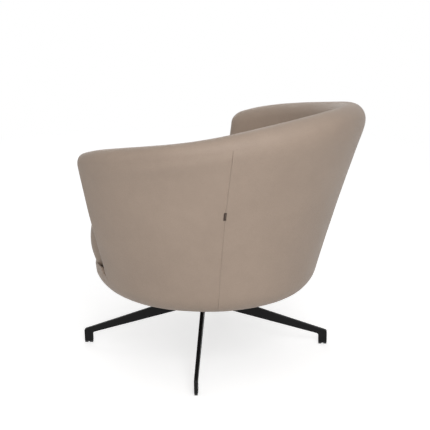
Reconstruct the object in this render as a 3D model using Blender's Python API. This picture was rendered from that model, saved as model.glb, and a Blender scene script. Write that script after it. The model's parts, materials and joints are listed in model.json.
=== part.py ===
"""Swivel lounge chair: a leather tub on a four-blade steel base.

Units are metres and degrees. The chair faces -Y, Z is up, and the sitter's left is +X.
Every upholstery piece is laid out in polar coordinates round the swivel axis: an angle of 0 is
the middle of the back, 90 the sitter's left arm and 180 the middle of the front.
"""

import math

import bmesh
import bpy
from mathutils import Matrix, Vector

# Clearances
GAP = 0.0003            # left between two pieces that touch
SOFT_GAP = 0.0015       # left round the loose seat cushion
FRAME_GAP = 0.0009      # left between the frame's curved edges and the leather round them
ROLL_GAP = 0.0011       # left under the rim roll, whose slanting seat is faceted
FIT = 0.0003            # radial clearance of every pin, bush and bolt in its hole
OVERSHOOT = 0.004       # how far a cutter runs past the faces it opens

# Tub wall: two ellipses, one low and one at the crest of the back
PLAN_RATIO = 0.933      # width of every ellipse over its depth
LOW_Z = 0.25            # height of the low ellipse
LOW_RADIUS = 0.304      # its half depth
LOW_SHIFT = 0.0060      # how far its centre lies behind the swivel axis
HIGH_Z = 0.69           # height of the high ellipse
HIGH_RADIUS = 0.409     # its half depth
HIGH_SHIFT = 0.0495     # how far its centre lies behind the swivel axis
SHIFT_SAG = 0.0053      # hollow of the back's line between the two
WALL = 0.062            # whole thickness of the upholstered wall
CROWN = 0.0253          # how far the wall leans in at its crest
CROWN_REACH = 0.080     # height below the crest over which it does so
CROWN_FADE = (25.0, 70.0)  # angles between which the lean dies out towards the arm fronts

# Rim heights, at four angles round from the middle of the back
RIM_ANGLES = (0.0, 45.0, 90.0, 120.0)
RIM_BACK_Z = 0.6811
RIM_QUARTER_Z = 0.6549
RIM_SIDE_Z = 0.6101
RIM_FRONT_Z = 0.5599

# Arm fronts and the half-round roll that borders rim and arm fronts
ARM_TIP_ANGLE = 117.3   # foremost line of the roll
ARM_SEAM_ANGLE = 110.5  # seam behind it
ROLL = 0.031            # height of the roll above its seams
TIP_CORNER = (0.031, 0.0215)  # how far the roll's top front corner runs back and down
SEAM_CORNER = 0.012     # the same for its seam
REAR_SEAM_ANGLE = 47.4  # seams between the back panel and the side panels
SPLAY = 0.0162          # how far the arm fronts stand out sideways of the ellipses
SPLAY_START = 75.0      # angle from which they come to do so
SPLAY_FADE = (118.0, 141.0)   # angles over which what lies in front of them leaves it again
SPLAY_HEIGHTS = (0.23, 0.58)  # heights over which it grows

# Layers of the wall, from outside in
COVER = 0.010           # outer leather on its foam
CORE = 0.010            # moulded plywood tub
UNDER_COVER = 0.0017    # leather turned in under the seat

# Bottom of the tub
BOTTOM_Z = 0.182        # underside of the leather
BOWL_TOP_Z = 0.2355     # where the wall starts to turn under, level with the seat ring
BOWL_INSET = 0.071      # how far in the turned corner ends
BOWL_PULL = 0.037       # length of the corner curve's handles
SLOPE_SPAN = 0.010      # stretch of wall that the corner curve takes its direction from
TURN_IN = 0.024         # width of leather stapled under the seat

# Seat frame
PANEL = 0.015           # plywood base panel
RING_FOOT = 0.028       # width of the ring where it stands on the panel
RING_HEAD = 0.036       # width of the ring at its top
RING_KNEE = 0.45        # where up the ring its outside is kinked to follow the corner
STRAP = 0.002           # thickness of the elastic webbing
STRAP_WIDTH = 0.050
STRAP_PITCH = 0.365     # spacing of the straps over the half width that they span
CROSS_STRAPS = 4
LONG_STRAPS = 3
STRAP_LAP = 0.022       # length of each strap's end on the ring
DECK = 0.003            # felt deck over the webbing

# Seat cushion
CUSHION_REACH = 0.3075  # half depth of its front at the widest height
CUSHION_WIDEST_Z = 0.305
CUSHION_SIDE = (3.6, 2.4)  # how fast its front draws in below and above that, per metre
CUSHION_EDGE_Z = 0.384  # where the sides turn over to the top
CUSHION_ROUND = (0.034, 0.026)  # how far that turn runs in and up
CUSHION_TOP_Z = 0.434   # top of the crown
CUSHION_FOOT = 0.008    # rounding of its lower edge
CUSHION_SWELL = 1.2     # fullness of the crown: lower is flatter on top
CUSHION_BLEND = (112.0, 141.0)  # angles between which its outline leaves the arms

# Seam tab
TAB_SIZE = (0.0075, 0.0195)
TAB_THICK = 0.0015
TAB_Z = 0.458

# Base
LEG_REACH = 0.330       # from the swivel axis to the outside of each foot
LEG_TURN = -10.9        # how far the base stands turned from a square cross
LEG_COUNT = 4
LEG_THICK = 0.0092
LEG_ROOT = (0.106, 0.1412)   # lower and upper edge of a blade at the hub
LEG_TIP = (0.0224, 0.0377)   # the same two edges carried out to the full reach
FOOT_WIDTH = 0.023
FOOT_CORNER = 0.006     # outer top corner
FOOT_FILLET = 0.007     # inner corner
BLADE_EDGE = 0.0008     # broken edges of the blade
GLIDE = 0.0042          # height of a glide under its foot
GLIDE_INSET = 0.0006    # glide edge inside the foot edge
GLIDE_SLOT = (0.005, 0.0024)  # groove across the glide
STEM_RADIUS = 0.0025
STEM_LENGTH = 0.012
HUB_RADIUS = 0.032
HUB_BORE = 0.0235
HUB_DROP = 0.003        # hub below the blades
HUB_EDGE = 0.0012
HUB_PLUG = 0.003

# Swivel bearing, stacked between hub and plate
PLATE_SIDE = 0.150
PLATE_THICK = 0.006
PLATE_CORNER = 0.014
COLLAR_RADIUS = 0.024
COLLAR_HEIGHT = 0.007
RACE_RADII = (0.0185, 0.0292)
RACE_THICK = 0.002
BALL_RADIUS = 0.003
BALL_COUNT = 8
CAGE_WIDTH = 0.0056
CAGE_THICK = 0.0022
SPINDLE_RADIUS = 0.015
BUSH_LENGTH = 0.016
FLANGE_RADIUS = 0.0305
FLANGE_THICK = 0.002
GROOVE_RADIUS = 0.0130
CLIP_RADIUS = 0.0185
CLIP_THICK = 0.0012
CLIP_OPENING = 40.0     # degrees left open
CLIP_TAPER = 35.0       # degrees from its back to where it starts to narrow
WASHER_RADIUS = 0.0222
WASHER_THICK = 0.0016
SPINDLE_END = 0.0025    # spindle below its circlip
SPINDLE_EDGE = 0.001

# Plate bolts
BOLT_SPACING = 0.112
BOLT_RADIUS = 0.0039
BOLT_HEAD_RADIUS = 0.0075
BOLT_HEAD_HEIGHT = 0.0045
BOLT_HEAD_RIM = 0.0018  # upright rim of the head under its round
SOCKET_RADIUS = 0.0029
SOCKET_DEPTH = 0.0026
NUT_BARREL = 0.0056
NUT_FLANGE_RADIUS = 0.0095
NUT_FLANGE_THICK = 0.0015
DUST_COVER = 0.0012
DUST_HOLE = 0.110

# Facets
ROUND_STEPS = 28
SMALL_STEPS = 12
BALL_FACETS = (8, 6)
CLIP_COLUMNS = 24
BACK_COLUMNS = 16
SIDE_COLUMNS = 12
CORNER_COLUMNS = 4
FRONT_COLUMNS = 22
WALL_ROWS = 6
BOWL_ROWS = 6
ROLL_STEPS = 10
ARM_ROWS = 6
CUSHION_COLUMNS = 44
CUSHION_CROWN_RINGS = (0.8, 0.55, 0.28)  # from edge to peak, as shares of the reach
SEARCH_STEPS = 30       # halvings used to find a height on the corner curve


# Heights that follow from the sizes above
PANEL_Z = BOTTOM_Z + UNDER_COVER + GAP
PANEL_TOP_Z = PANEL_Z + PANEL
RING_TOP_Z = BOWL_TOP_Z
PLATE_TOP_Z = PANEL_Z - GAP
PLATE_Z = PLATE_TOP_Z - PLATE_THICK
COLLAR_Z = PLATE_Z - COLLAR_HEIGHT
UPPER_RACE_Z = COLLAR_Z - GAP - RACE_THICK
BALL_Z = UPPER_RACE_Z - GAP - BALL_RADIUS
LOWER_RACE_Z = BALL_Z - BALL_RADIUS - GAP - RACE_THICK
FLANGE_Z = LOWER_RACE_Z - GAP - FLANGE_THICK
HUB_TOP_Z = FLANGE_Z - GAP
HUB_Z = LEG_ROOT[0] - HUB_DROP
SPINDLE_Z = HUB_Z + HUB_PLUG + GAP
CLIP_Z = SPINDLE_Z + SPINDLE_END
WASHER_Z = CLIP_Z + CLIP_THICK + GAP
LOWER_BUSH_Z = WASHER_Z + WASHER_THICK + GAP
RING_Z = PANEL_TOP_Z + GAP
CROSS_STRAP_Z = RING_TOP_Z + GAP
LONG_STRAP_Z = CROSS_STRAP_Z + STRAP + GAP
DECK_Z = LONG_STRAP_Z + STRAP + GAP
DECK_TOP_Z = DECK_Z + DECK
CUSHION_Z = DECK_TOP_Z + GAP
CORE_DEPTH = COVER + GAP
LINING_DEPTH = CORE_DEPTH + CORE + GAP


def blend(start, end, part):
    return start + (end - start) * part


def smooth(value, start, end):
    """0 up to start, 1 from end on, and an even S between."""
    part = min(max((value - start) / (end - start), 0.0), 1.0)
    return part * part * (3.0 - 2.0 * part)


def wall_radius(z):
    return blend(LOW_RADIUS, HIGH_RADIUS, (z - LOW_Z) / (HIGH_Z - LOW_Z))


def wall_shift(z):
    part = (z - LOW_Z) / (HIGH_Z - LOW_Z)
    return blend(LOW_SHIFT, HIGH_SHIFT, part) - 4.0 * SHIFT_SAG * part * (1.0 - part)


def on_ellipse(angle, radius, shift, z):
    turn = math.radians(angle)
    return Vector((math.sin(turn) * radius * PLAN_RATIO, math.cos(turn) * radius + shift, z))


def crown_lean(angle, z):
    """How far the wall has drawn in at this height towards its crest."""
    if abs(angle) > ARM_TIP_ANGLE:
        return 0.0
    near = 1.0 - (rim_height(angle) - z) / CROWN_REACH
    share = 1.0 - smooth(abs(angle), *CROWN_FADE)
    return CROWN * share * max(near, 0.0) ** 2


def arm_splay(angle, z):
    """Sideways step from the ellipse, which carries the arms out at their fronts."""
    around = min(abs(angle), 360.0 - abs(angle))
    share = smooth(around, SPLAY_START, ARM_TIP_ANGLE) * (1.0 - smooth(around, *SPLAY_FADE))
    side = math.copysign(1.0, math.sin(math.radians(angle)))
    return Vector((side * SPLAY * share * smooth(z, *SPLAY_HEIGHTS), 0.0, 0.0))


def wall_point(angle, z, depth):
    """A point of the tub wall, depth metres in from its outer face."""
    radius = wall_radius(z) - crown_lean(angle, z) - depth
    return on_ellipse(angle, radius, wall_shift(z), z) + arm_splay(angle, z)


def rim_height(angle):
    """Crest of the rim: one even curve in the square of the angle through the four rim heights."""
    heights = (RIM_BACK_Z, RIM_QUARTER_Z, RIM_SIDE_Z, RIM_FRONT_Z)
    height = 0.0
    for here, value in zip(RIM_ANGLES, heights):
        share = 1.0
        for other in RIM_ANGLES:
            if other != here:
                share *= (angle**2 - other**2) / (here**2 - other**2)
        height += value * share
    return height


def seam_height(angle):
    """Upper edge of the panels under the roll, rounded down to the arm seam."""
    height = rim_height(angle) - ROLL
    corner = seam_corner_angle()
    past = (abs(angle) - (ARM_SEAM_ANGLE - corner)) / corner
    if past > 0.0:
        height -= SEAM_CORNER * (1.0 - math.sqrt(max(1.0 - min(past, 1.0) ** 2, 0.0)))
    return height


def bowl_point(angle, part, depth, lift):
    """The turned bottom corner, from the wall (part 0) to the underside (part 1)."""
    start = wall_point(angle, BOWL_TOP_Z, depth)
    slope = (start - wall_point(angle, BOWL_TOP_Z + SLOPE_SPAN, depth)).normalized()
    end_radius = wall_radius(BOWL_TOP_Z) - BOWL_INSET
    end = on_ellipse(angle, end_radius, wall_shift(BOWL_TOP_Z), BOTTOM_Z + lift)
    outward = on_ellipse(angle, 1.0, 0.0, 0.0).normalized()
    pull = BOWL_PULL - 0.5 * depth
    first = start + slope * pull
    second = end + outward * pull
    rest = 1.0 - part
    curve = start * rest**3 + first * (3.0 * rest**2 * part)
    return curve + second * (3.0 * rest * part**2) + end * part**3


def bowl_at(angle, z, depth, lift):
    """The point of the corner curve at height z."""
    low, high = 0.0, 1.0
    for _ in range(SEARCH_STEPS):
        middle = 0.5 * (low + high)
        if bowl_point(angle, middle, depth, lift).z > z:
            low = middle
        else:
            high = middle
    return bowl_point(angle, low, depth, lift)


def back_reach():
    """How far behind the swivel axis the crest of the back reaches."""
    reach = 0.0
    for step in range(31):
        turn = math.radians(3.0 * step)
        z = RIM_BACK_Z - ROLL * (1.0 - math.sin(turn))
        depth = 0.5 * WALL * (1.0 - math.cos(turn))
        reach = max(reach, wall_point(0.0, z, depth).y)
    return reach


FRONT_REACH = CUSHION_REACH - LOW_SHIFT
AXIS_Y = 0.5 * (FRONT_REACH - back_reach())


def make_material(name, colour, roughness, metallic=0.0):
    material = bpy.data.materials.new(name)
    material.use_nodes = True
    shader = material.node_tree.nodes["Principled BSDF"]
    shader.inputs["Base Color"].default_value = (*colour, 1.0)
    shader.inputs["Roughness"].default_value = roughness
    shader.inputs["Metallic"].default_value = metallic
    return material


def make_empty(name):
    empty = bpy.data.objects.new(name, None)
    empty.location = (0.0, AXIS_Y, 0.0)
    bpy.context.scene.collection.objects.link(empty)
    return empty


def add_object(name, mesh, material, parent, sharp=35.0):
    """Links a mesh as one named piece, smooth except at its edges."""
    mesh.shade_smooth()
    mesh.set_sharp_from_angle(angle=math.radians(sharp))
    piece = bpy.data.objects.new(name, mesh)
    if material:
        mesh.materials.append(material)
    bpy.context.scene.collection.objects.link(piece)
    piece.parent = parent
    return piece


def mesh_of(name, shape):
    """Turns a bmesh into a mesh with its doubles merged and its faces outward."""
    bmesh.ops.remove_doubles(shape, verts=shape.verts[:], dist=1e-6)
    bmesh.ops.recalc_face_normals(shape, faces=shape.faces[:])
    mesh = bpy.data.meshes.new(name)
    shape.to_mesh(mesh)
    shape.free()
    return mesh


def even(start, end, steps):
    return [blend(start, end, step / steps) for step in range(steps + 1)]


def slab(name, us, vs, place):
    """A bent slab: place(u, v, w) puts each point, w being 0 outside and 1 inside."""
    columns = len(us) - 1
    rows = len(vs) - 1
    shape = bmesh.new()
    grid = [[[shape.verts.new(place(u, v, w)) for v in vs] for u in us] for w in (0.0, 1.0)]
    for sheet in grid:
        for i in range(columns):
            for j in range(rows):
                shape.faces.new((sheet[i][j], sheet[i + 1][j], sheet[i + 1][j + 1], sheet[i][j + 1]))
    outer, inner = grid
    for i in range(columns):
        for j in (0, rows):
            shape.faces.new((outer[i][j], outer[i + 1][j], inner[i + 1][j], inner[i][j]))
    for j in range(rows):
        for i in (0, columns):
            shape.faces.new((outer[i][j], outer[i][j + 1], inner[i][j + 1], inner[i][j]))
    return mesh_of(name, shape)


def loft(name, loops, closed):
    """Faces between loops of equal length: closed joins the last loop to the first."""
    shape = bmesh.new()
    rows = [[shape.verts.new(point) for point in loop] for loop in loops]
    count = len(rows[0])
    for i in range(len(rows) if closed else len(rows) - 1):
        here, there = rows[i], rows[(i + 1) % len(rows)]
        for j in range(count):
            k = (j + 1) % count
            shape.faces.new((here[j], here[k], there[k], there[j]))
    if not closed:
        shape.faces.new(rows[0])
        shape.faces.new(rows[-1])
    return mesh_of(name, shape)


def turned(name, profile, steps):
    """A turned piece: its closed half section (radius, height) spun round Z."""
    shape = bmesh.new()
    points = [shape.verts.new((radius, 0.0, z)) for radius, z in profile]
    edges = [shape.edges.new((points[i - 1], points[i])) for i in range(len(points))]
    bmesh.ops.spin(
        shape,
        geom=points + edges,
        axis=(0.0, 0.0, 1.0),
        cent=(0.0, 0.0, 0.0),
        steps=steps,
        angle=2.0 * math.pi,
        use_merge=True,
    )
    return mesh_of(name, shape)


def extruded(name, outline, low, high):
    """A flat outline of (x, y) points given a height."""
    shape = bmesh.new()
    face = shape.faces.new([shape.verts.new((x, y, low)) for x, y in outline])
    risen = bmesh.ops.extrude_face_region(shape, geom=[face])["geom"]
    lift = [item for item in risen if isinstance(item, bmesh.types.BMVert)]
    bmesh.ops.translate(shape, verts=lift, vec=(0.0, 0.0, high - low))
    return mesh_of(name, shape)


def tube_profile(inner, outer, low, high):
    """Half section of a plain ring."""
    return [(inner, low), (outer, low), (outer, high), (inner, high)]


def chamfered_profile(inner, outer, low, high, edge):
    """Half section of a ring with its outer edges broken."""
    outside = [(outer - edge, low), (outer, low + edge), (outer, high - edge), (outer - edge, high)]
    return [(inner, low), *outside, (inner, high)]


def arc(centre, radii, start, end, steps):
    """Points of an ellipse's arc in a plane, its angles in degrees."""
    points = []
    for step in range(steps + 1):
        turn = math.radians(blend(start, end, step / steps))
        x = centre[0] + radii[0] * math.cos(turn)
        y = centre[1] + radii[1] * math.sin(turn)
        points.append((x, y))
    return points


def cutter(name, mesh, parent):
    piece = add_object(name, mesh, None, parent)
    piece.hide_render = True
    piece.display_type = "WIRE"
    return piece


def cut(piece, tool, operation="DIFFERENCE"):
    modifier = piece.modifiers.new(tool.name, "BOOLEAN")
    modifier.operation = operation
    modifier.solver = "EXACT"
    modifier.object = tool


def posts(name, radius, low, high):
    """Four upright pins on the bolt pattern, as one tool."""
    shape = bmesh.new()
    for x in (-0.5, 0.5):
        for y in (-0.5, 0.5):
            made = bmesh.ops.create_cone(
                shape,
                cap_ends=True,
                segments=SMALL_STEPS,
                radius1=radius,
                radius2=radius,
                depth=high - low,
            )
            move = (x * BOLT_SPACING, y * BOLT_SPACING, 0.5 * (low + high))
            bmesh.ops.translate(shape, verts=made["verts"], vec=move)
    return mesh_of(name, shape)


def blade_outline():
    """Side view of a leg: a tapered blade that turns down into a foot."""
    root = HUB_RADIUS + GAP
    span = LEG_REACH - root
    inside = LEG_REACH - FOOT_WIDTH
    floor = GLIDE + GAP
    top_slope = (LEG_TIP[1] - LEG_ROOT[1]) / span
    under_slope = (LEG_TIP[0] - LEG_ROOT[0]) / span
    under_at = LEG_ROOT[0] + under_slope * (inside - FOOT_FILLET - root)
    corner = (LEG_REACH - FOOT_CORNER, LEG_TIP[1] - top_slope * FOOT_CORNER - FOOT_CORNER)
    lean = 90.0 - math.degrees(math.atan(-top_slope))
    points = [(root, LEG_ROOT[0]), (root, LEG_ROOT[1])]
    points += arc(corner, (FOOT_CORNER, FOOT_CORNER), lean, 0.0, 5)
    points += [(LEG_REACH, floor), (inside, floor)]
    fillet = (inside - FOOT_FILLET, under_at - FOOT_FILLET)
    points += arc(fillet, (FOOT_FILLET, FOOT_FILLET), 0.0, 90.0 - math.degrees(math.atan(-under_slope)), 4)
    return points


def add_base(axis, steel, plastic, zinc):
    outline = blade_outline()
    half = 0.5 * LEG_THICK
    foot = LEG_REACH - 0.5 * FOOT_WIDTH
    for count, place in enumerate(("rear_left", "rear_right", "front_right", "front_left")):
        turn = math.radians(45.0 + LEG_TURN + count * 360.0 / LEG_COUNT)
        loops = [[(r, side, z) for r, z in outline] for side in (-half, half)]
        leg = add_object("leg_" + place, loft("leg_" + place, loops, False), steel, axis)
        leg.rotation_euler.z = turn
        bore = tube_profile(0.0, STEM_RADIUS + FIT, 0.0, GLIDE + STEM_LENGTH + 2.0 * GAP)
        hole = turned("stem_bore_" + place, bore, SMALL_STEPS)
        hole.transform(Matrix.Translation((foot, 0.0, 0.0)))
        tool = cutter("stem_bore_" + place, hole, axis)
        tool.rotation_euler.z = turn
        soften = leg.modifiers.new("broken_edges", "BEVEL")
        soften.width = BLADE_EDGE
        soften.segments = 1
        soften.limit_method = "ANGLE"
        soften.angle_limit = math.radians(60.0)
        cut(leg, tool)
        glide = add_object("glide_" + place, glide_mesh(foot), plastic, axis)
        glide.rotation_euler.z = turn
    hub = chamfered_profile(HUB_BORE, HUB_RADIUS, HUB_Z, HUB_TOP_Z, HUB_EDGE)
    add_object("hub_tube", turned("hub_tube", hub, ROUND_STEPS), steel, axis)
    plug = tube_profile(0.0, HUB_BORE - FIT, HUB_Z, HUB_Z + HUB_PLUG)
    add_object("hub_plug", turned("hub_plug", plug, ROUND_STEPS), plastic, axis)
    bore_radius = SPINDLE_RADIUS + FIT
    lower = tube_profile(bore_radius, HUB_BORE - FIT, LOWER_BUSH_Z, LOWER_BUSH_Z + BUSH_LENGTH)
    add_object("lower_bush", turned("lower_bush", lower, ROUND_STEPS), plastic, axis)
    upper = [
        (bore_radius, HUB_TOP_Z - BUSH_LENGTH),
        (HUB_BORE - FIT, HUB_TOP_Z - BUSH_LENGTH),
        (HUB_BORE - FIT, FLANGE_Z),
        (FLANGE_RADIUS, FLANGE_Z),
        (FLANGE_RADIUS, FLANGE_Z + FLANGE_THICK),
        (bore_radius, FLANGE_Z + FLANGE_THICK),
    ]
    add_object("upper_bush", turned("upper_bush", upper, ROUND_STEPS), plastic, axis)
    race = tube_profile(RACE_RADII[0], RACE_RADII[1], LOWER_RACE_Z, LOWER_RACE_Z + RACE_THICK)
    add_object("lower_race", turned("lower_race", race, ROUND_STEPS), zinc, axis)
    add_ball_cage(axis, zinc)


def glide_mesh(foot):
    """A push-in glide: two pads with a groove between them, and a stem."""
    half_width = 0.5 * FOOT_WIDTH - GLIDE_INSET
    half_thick = 0.5 * LEG_THICK - GLIDE_INSET
    slot = 0.5 * GLIDE_SLOT[0]
    outline = [
        (-half_width, 0.0),
        (-slot, 0.0),
        (-slot, GLIDE_SLOT[1]),
        (slot, GLIDE_SLOT[1]),
        (slot, 0.0),
        (half_width, 0.0),
        (half_width, GLIDE),
        (-half_width, GLIDE),
    ]
    loops = [[(foot + x, side, z) for x, z in outline] for side in (-half_thick, half_thick)]
    body = add_object("glide_body", loft("glide_body", loops, False), None, None)
    sunk = 0.5 * GLIDE
    stem = [(0.0, sunk + 0.5 * (GLIDE - sunk)), (STEM_RADIUS, sunk + 0.5 * (GLIDE - sunk))]
    stem += [(STEM_RADIUS, GLIDE + GAP + STEM_LENGTH), (0.0, GLIDE + GAP + STEM_LENGTH)]
    stem_mesh = turned("glide_stem", stem, SMALL_STEPS)
    stem_mesh.transform(Matrix.Translation((foot, 0.0, 0.0)))
    stem_piece = add_object("glide_stem", stem_mesh, None, None)
    return merged("glide", body, stem_piece)


def merged(name, first, *others):
    """The union of pieces as one mesh. The pieces themselves are taken away."""
    for other in others:
        cut(first, other, "UNION")
    bpy.context.view_layer.update()
    graph = bpy.context.evaluated_depsgraph_get()
    mesh = bpy.data.meshes.new_from_object(first.evaluated_get(graph))
    mesh.name = name
    for piece in (first, *others):
        bpy.data.objects.remove(piece)
    return mesh


def add_ball_cage(axis, zinc):
    """Balls of the thrust bearing in their flat cage."""
    pitch = 0.5 * (RACE_RADII[0] + RACE_RADII[1])
    half = 0.5 * CAGE_WIDTH
    low = BALL_Z - 0.5 * CAGE_THICK
    ring = tube_profile(pitch - half, pitch + half, low, low + CAGE_THICK)
    shape = bmesh.new()
    for count in range(BALL_COUNT):
        turn = 2.0 * math.pi * count / BALL_COUNT
        round_facets, high_facets = BALL_FACETS
        made = bmesh.ops.create_uvsphere(
            shape,
            u_segments=round_facets,
            v_segments=high_facets,
            radius=BALL_RADIUS,
        )
        spot = (pitch * math.cos(turn), pitch * math.sin(turn), BALL_Z)
        bmesh.ops.translate(shape, verts=made["verts"], vec=spot)
    balls = add_object("balls", mesh_of("balls", shape), None, None)
    cage = add_object("cage", turned("cage", ring, 3 * BALL_COUNT), None, None)
    add_object("ball_cage", merged("ball_cage", cage, balls), zinc, axis)


def rounded_square(side, corner):
    half = 0.5 * side - corner
    points = []
    for x, y, start in ((half, half, 0.0), (-half, half, 90.0), (-half, -half, 180.0), (half, -half, 270.0)):
        points += arc((x, y), (corner, corner), start, start + 90.0, 4)
    return points


def add_swivel(axis, steel, zinc):
    """What the seat turns on: plate, spindle, upper race, washer, circlip and bolts."""
    plate = add_object(
        "plate_body",
        extruded("plate_body", rounded_square(PLATE_SIDE, PLATE_CORNER), PLATE_Z, PLATE_TOP_Z),
        None,
        None,
    )
    boss = [(0.0, COLLAR_Z), (COLLAR_RADIUS, COLLAR_Z), (COLLAR_RADIUS, PLATE_Z + 0.5 * PLATE_THICK)]
    boss += [(0.0, PLATE_Z + 0.5 * PLATE_THICK)]
    collar = add_object("plate_collar", turned("plate_collar", boss, ROUND_STEPS), None, None)
    piece = add_object("swivel_plate", merged("swivel_plate", plate, collar), steel, axis)
    reach = SPINDLE_RADIUS + FIT
    bore = tube_profile(0.0, reach, COLLAR_Z - OVERSHOOT, PLATE_TOP_Z + OVERSHOOT)
    cut(piece, cutter("spindle_bore", turned("spindle_bore", bore, ROUND_STEPS), axis))
    holes = posts("plate_holes", BOLT_RADIUS + 2.0 * FIT, PLATE_Z - OVERSHOOT, PLATE_TOP_Z + OVERSHOOT)
    cut(piece, cutter("plate_holes", holes, axis))
    add_object("spindle", turned("spindle", spindle_profile(), ROUND_STEPS), zinc, axis)
    race = tube_profile(RACE_RADII[0], RACE_RADII[1], UPPER_RACE_Z, UPPER_RACE_Z + RACE_THICK)
    add_object("upper_race", turned("upper_race", race, ROUND_STEPS), zinc, axis)
    washer = tube_profile(SPINDLE_RADIUS + FIT, WASHER_RADIUS, WASHER_Z, WASHER_Z + WASHER_THICK)
    add_object("retaining_washer", turned("retaining_washer", washer, ROUND_STEPS), zinc, axis)
    clip = slab("circlip", even(0.0, 1.0, CLIP_COLUMNS), (0.0, 1.0), clip_point)
    add_object("circlip", clip, zinc, axis)
    add_bolts(axis, zinc)


def spindle_profile():
    top = PLATE_TOP_Z
    return [
        (0.0, SPINDLE_Z),
        (SPINDLE_RADIUS - SPINDLE_EDGE, SPINDLE_Z),
        (SPINDLE_RADIUS, SPINDLE_Z + SPINDLE_EDGE),
        (SPINDLE_RADIUS, CLIP_Z - GAP),
        (GROOVE_RADIUS, CLIP_Z - GAP),
        (GROOVE_RADIUS, CLIP_Z + CLIP_THICK + GAP),
        (SPINDLE_RADIUS, CLIP_Z + CLIP_THICK + GAP),
        (SPINDLE_RADIUS, top),
        (0.0, top),
    ]


def clip_point(u, v, w):
    """An open ring in the spindle's groove, widest opposite its opening."""
    sweep = math.radians(180.0 - 0.5 * CLIP_OPENING)
    turn = blend(-sweep, sweep, u)
    inner = GROOVE_RADIUS + FIT
    narrow = smooth(abs(turn), math.radians(CLIP_TAPER), sweep)
    outer = blend(CLIP_RADIUS, 0.5 * (inner + CLIP_RADIUS), narrow)
    radius = blend(outer, inner, w)
    return Vector((radius * math.sin(turn), radius * math.cos(turn), CLIP_Z + CLIP_THICK * v))


def add_bolts(axis, zinc):
    """Button-head bolts up through the plate into tee nuts on top of the base panel."""
    top = PANEL_TOP_Z + GAP + NUT_FLANGE_THICK
    low = PLATE_Z - GAP - BOLT_HEAD_HEIGHT
    head = arc(
        (0.0, PLATE_Z - GAP - BOLT_HEAD_RIM),
        (BOLT_HEAD_RADIUS, BOLT_HEAD_HEIGHT - BOLT_HEAD_RIM),
        -90.0,
        0.0,
        3,
    )
    bolt = head + [(BOLT_HEAD_RADIUS, PLATE_Z - GAP), (BOLT_RADIUS, PLATE_Z - GAP), (BOLT_RADIUS, top)]
    bolt += [(0.0, top)]
    nut = [
        (BOLT_RADIUS + FIT, PANEL_Z + GAP),
        (NUT_BARREL, PANEL_Z + GAP),
        (NUT_BARREL, PANEL_TOP_Z + GAP),
        (NUT_FLANGE_RADIUS, PANEL_TOP_Z + GAP),
        (NUT_FLANGE_RADIUS, top),
        (BOLT_RADIUS + FIT, top),
    ]
    places = ("front_left", "rear_left", "front_right", "rear_right")
    spots = [(x, y) for x in (0.5, -0.5) for y in (-0.5, 0.5)]
    for place, (x, y) in zip(places, spots):
        spot = (x * BOLT_SPACING, y * BOLT_SPACING, 0.0)
        piece = add_object("plate_bolt_" + place, turned("plate_bolt", bolt, SMALL_STEPS), zinc, axis)
        piece.location = spot
        shape = bmesh.new()
        bmesh.ops.create_cone(
            shape,
            cap_ends=True,
            segments=6,
            radius1=SOCKET_RADIUS,
            radius2=SOCKET_RADIUS,
            depth=2.0 * SOCKET_DEPTH,
        )
        bmesh.ops.translate(shape, verts=shape.verts[:], vec=(0.0, 0.0, low))
        tool = cutter("socket_" + place, mesh_of("socket", shape), axis)
        tool.location = spot
        cut(piece, tool)
        tee = add_object("tee_nut_" + place, turned("tee_nut", nut, SMALL_STEPS), zinc, axis)
        tee.location = spot


def skin_rows(wall_rows):
    """Stations up the outer cover: turned-in edge, corner curve, wall."""
    rows = [("under", 0.0)]
    rows += [("bowl", part) for part in even(1.0, 0.0, BOWL_ROWS)]
    rows += [("wall", part) for part in even(0.0, 1.0, wall_rows)[1:]]
    return rows


def skin_point(angle, row, w, height):
    kind, part = row
    if kind == "under":
        radius = wall_radius(BOWL_TOP_Z) - BOWL_INSET - TURN_IN
        return on_ellipse(angle, radius, wall_shift(BOWL_TOP_Z), BOTTOM_Z + w * UNDER_COVER)
    if kind == "bowl":
        return bowl_point(angle, part, w * COVER, w * UNDER_COVER)
    return wall_point(angle, height(angle, part), w * COVER)


def seam_corner_angle():
    return math.degrees(SEAM_CORNER / wall_radius(RIM_FRONT_Z - ROLL))


def side_angles():
    """Stations of a side panel, closer together where its top front corner is rounded."""
    corner = seam_corner_angle()
    start = ARM_SEAM_ANGLE - corner
    turns = even(0.0, 90.0, CORNER_COLUMNS)[1:]
    angles = even(REAR_SEAM_ANGLE, start, SIDE_COLUMNS)
    return angles + [start + corner * math.sin(math.radians(turn)) for turn in turns]


def mirrored(angles):
    return [-angle for angle in reversed(angles)]


def back_angles():
    return even(-REAR_SEAM_ANGLE, REAR_SEAM_ANGLE, BACK_COLUMNS)


def wall_angles():
    """Stations right along the wall, from arm seam to arm seam."""
    side = side_angles()
    return mirrored(side) + back_angles()[1:-1] + side


def front_angles():
    return even(ARM_SEAM_ANGLE, 360.0 - ARM_SEAM_ANGLE, FRONT_COLUMNS)


def trimmed(angles, trim):
    """The same stations with the two ends drawn in by a small angle."""
    return [angles[0] + trim] + angles[1:-1] + [angles[-1] - trim]


def layer_height(angle, part, low=BOWL_TOP_Z):
    """Stations that all layers of the wall share, up to the roll's seam. The upper half leans in."""
    if part <= 0.0:
        return low
    knee = rim_height(angle) - CROWN_REACH
    if part <= 0.5:
        return blend(BOWL_TOP_Z, knee, 2.0 * part)
    return blend(knee, seam_height(angle) - ROLL_GAP, 2.0 * part - 1.0)


def apron_height(_angle, part):
    return blend(BOWL_TOP_Z, DECK_TOP_Z, part)


def add_cover(name, angles, wall_rows, height, material, axis):
    """One leather panel of the outer cover."""

    def place(angle, row, w):
        return skin_point(angle, row, w, height)

    trim = math.degrees(0.5 * GAP / LOW_RADIUS)
    add_object(name, slab(name, trimmed(angles, trim), skin_rows(wall_rows), place), material, axis)


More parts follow.
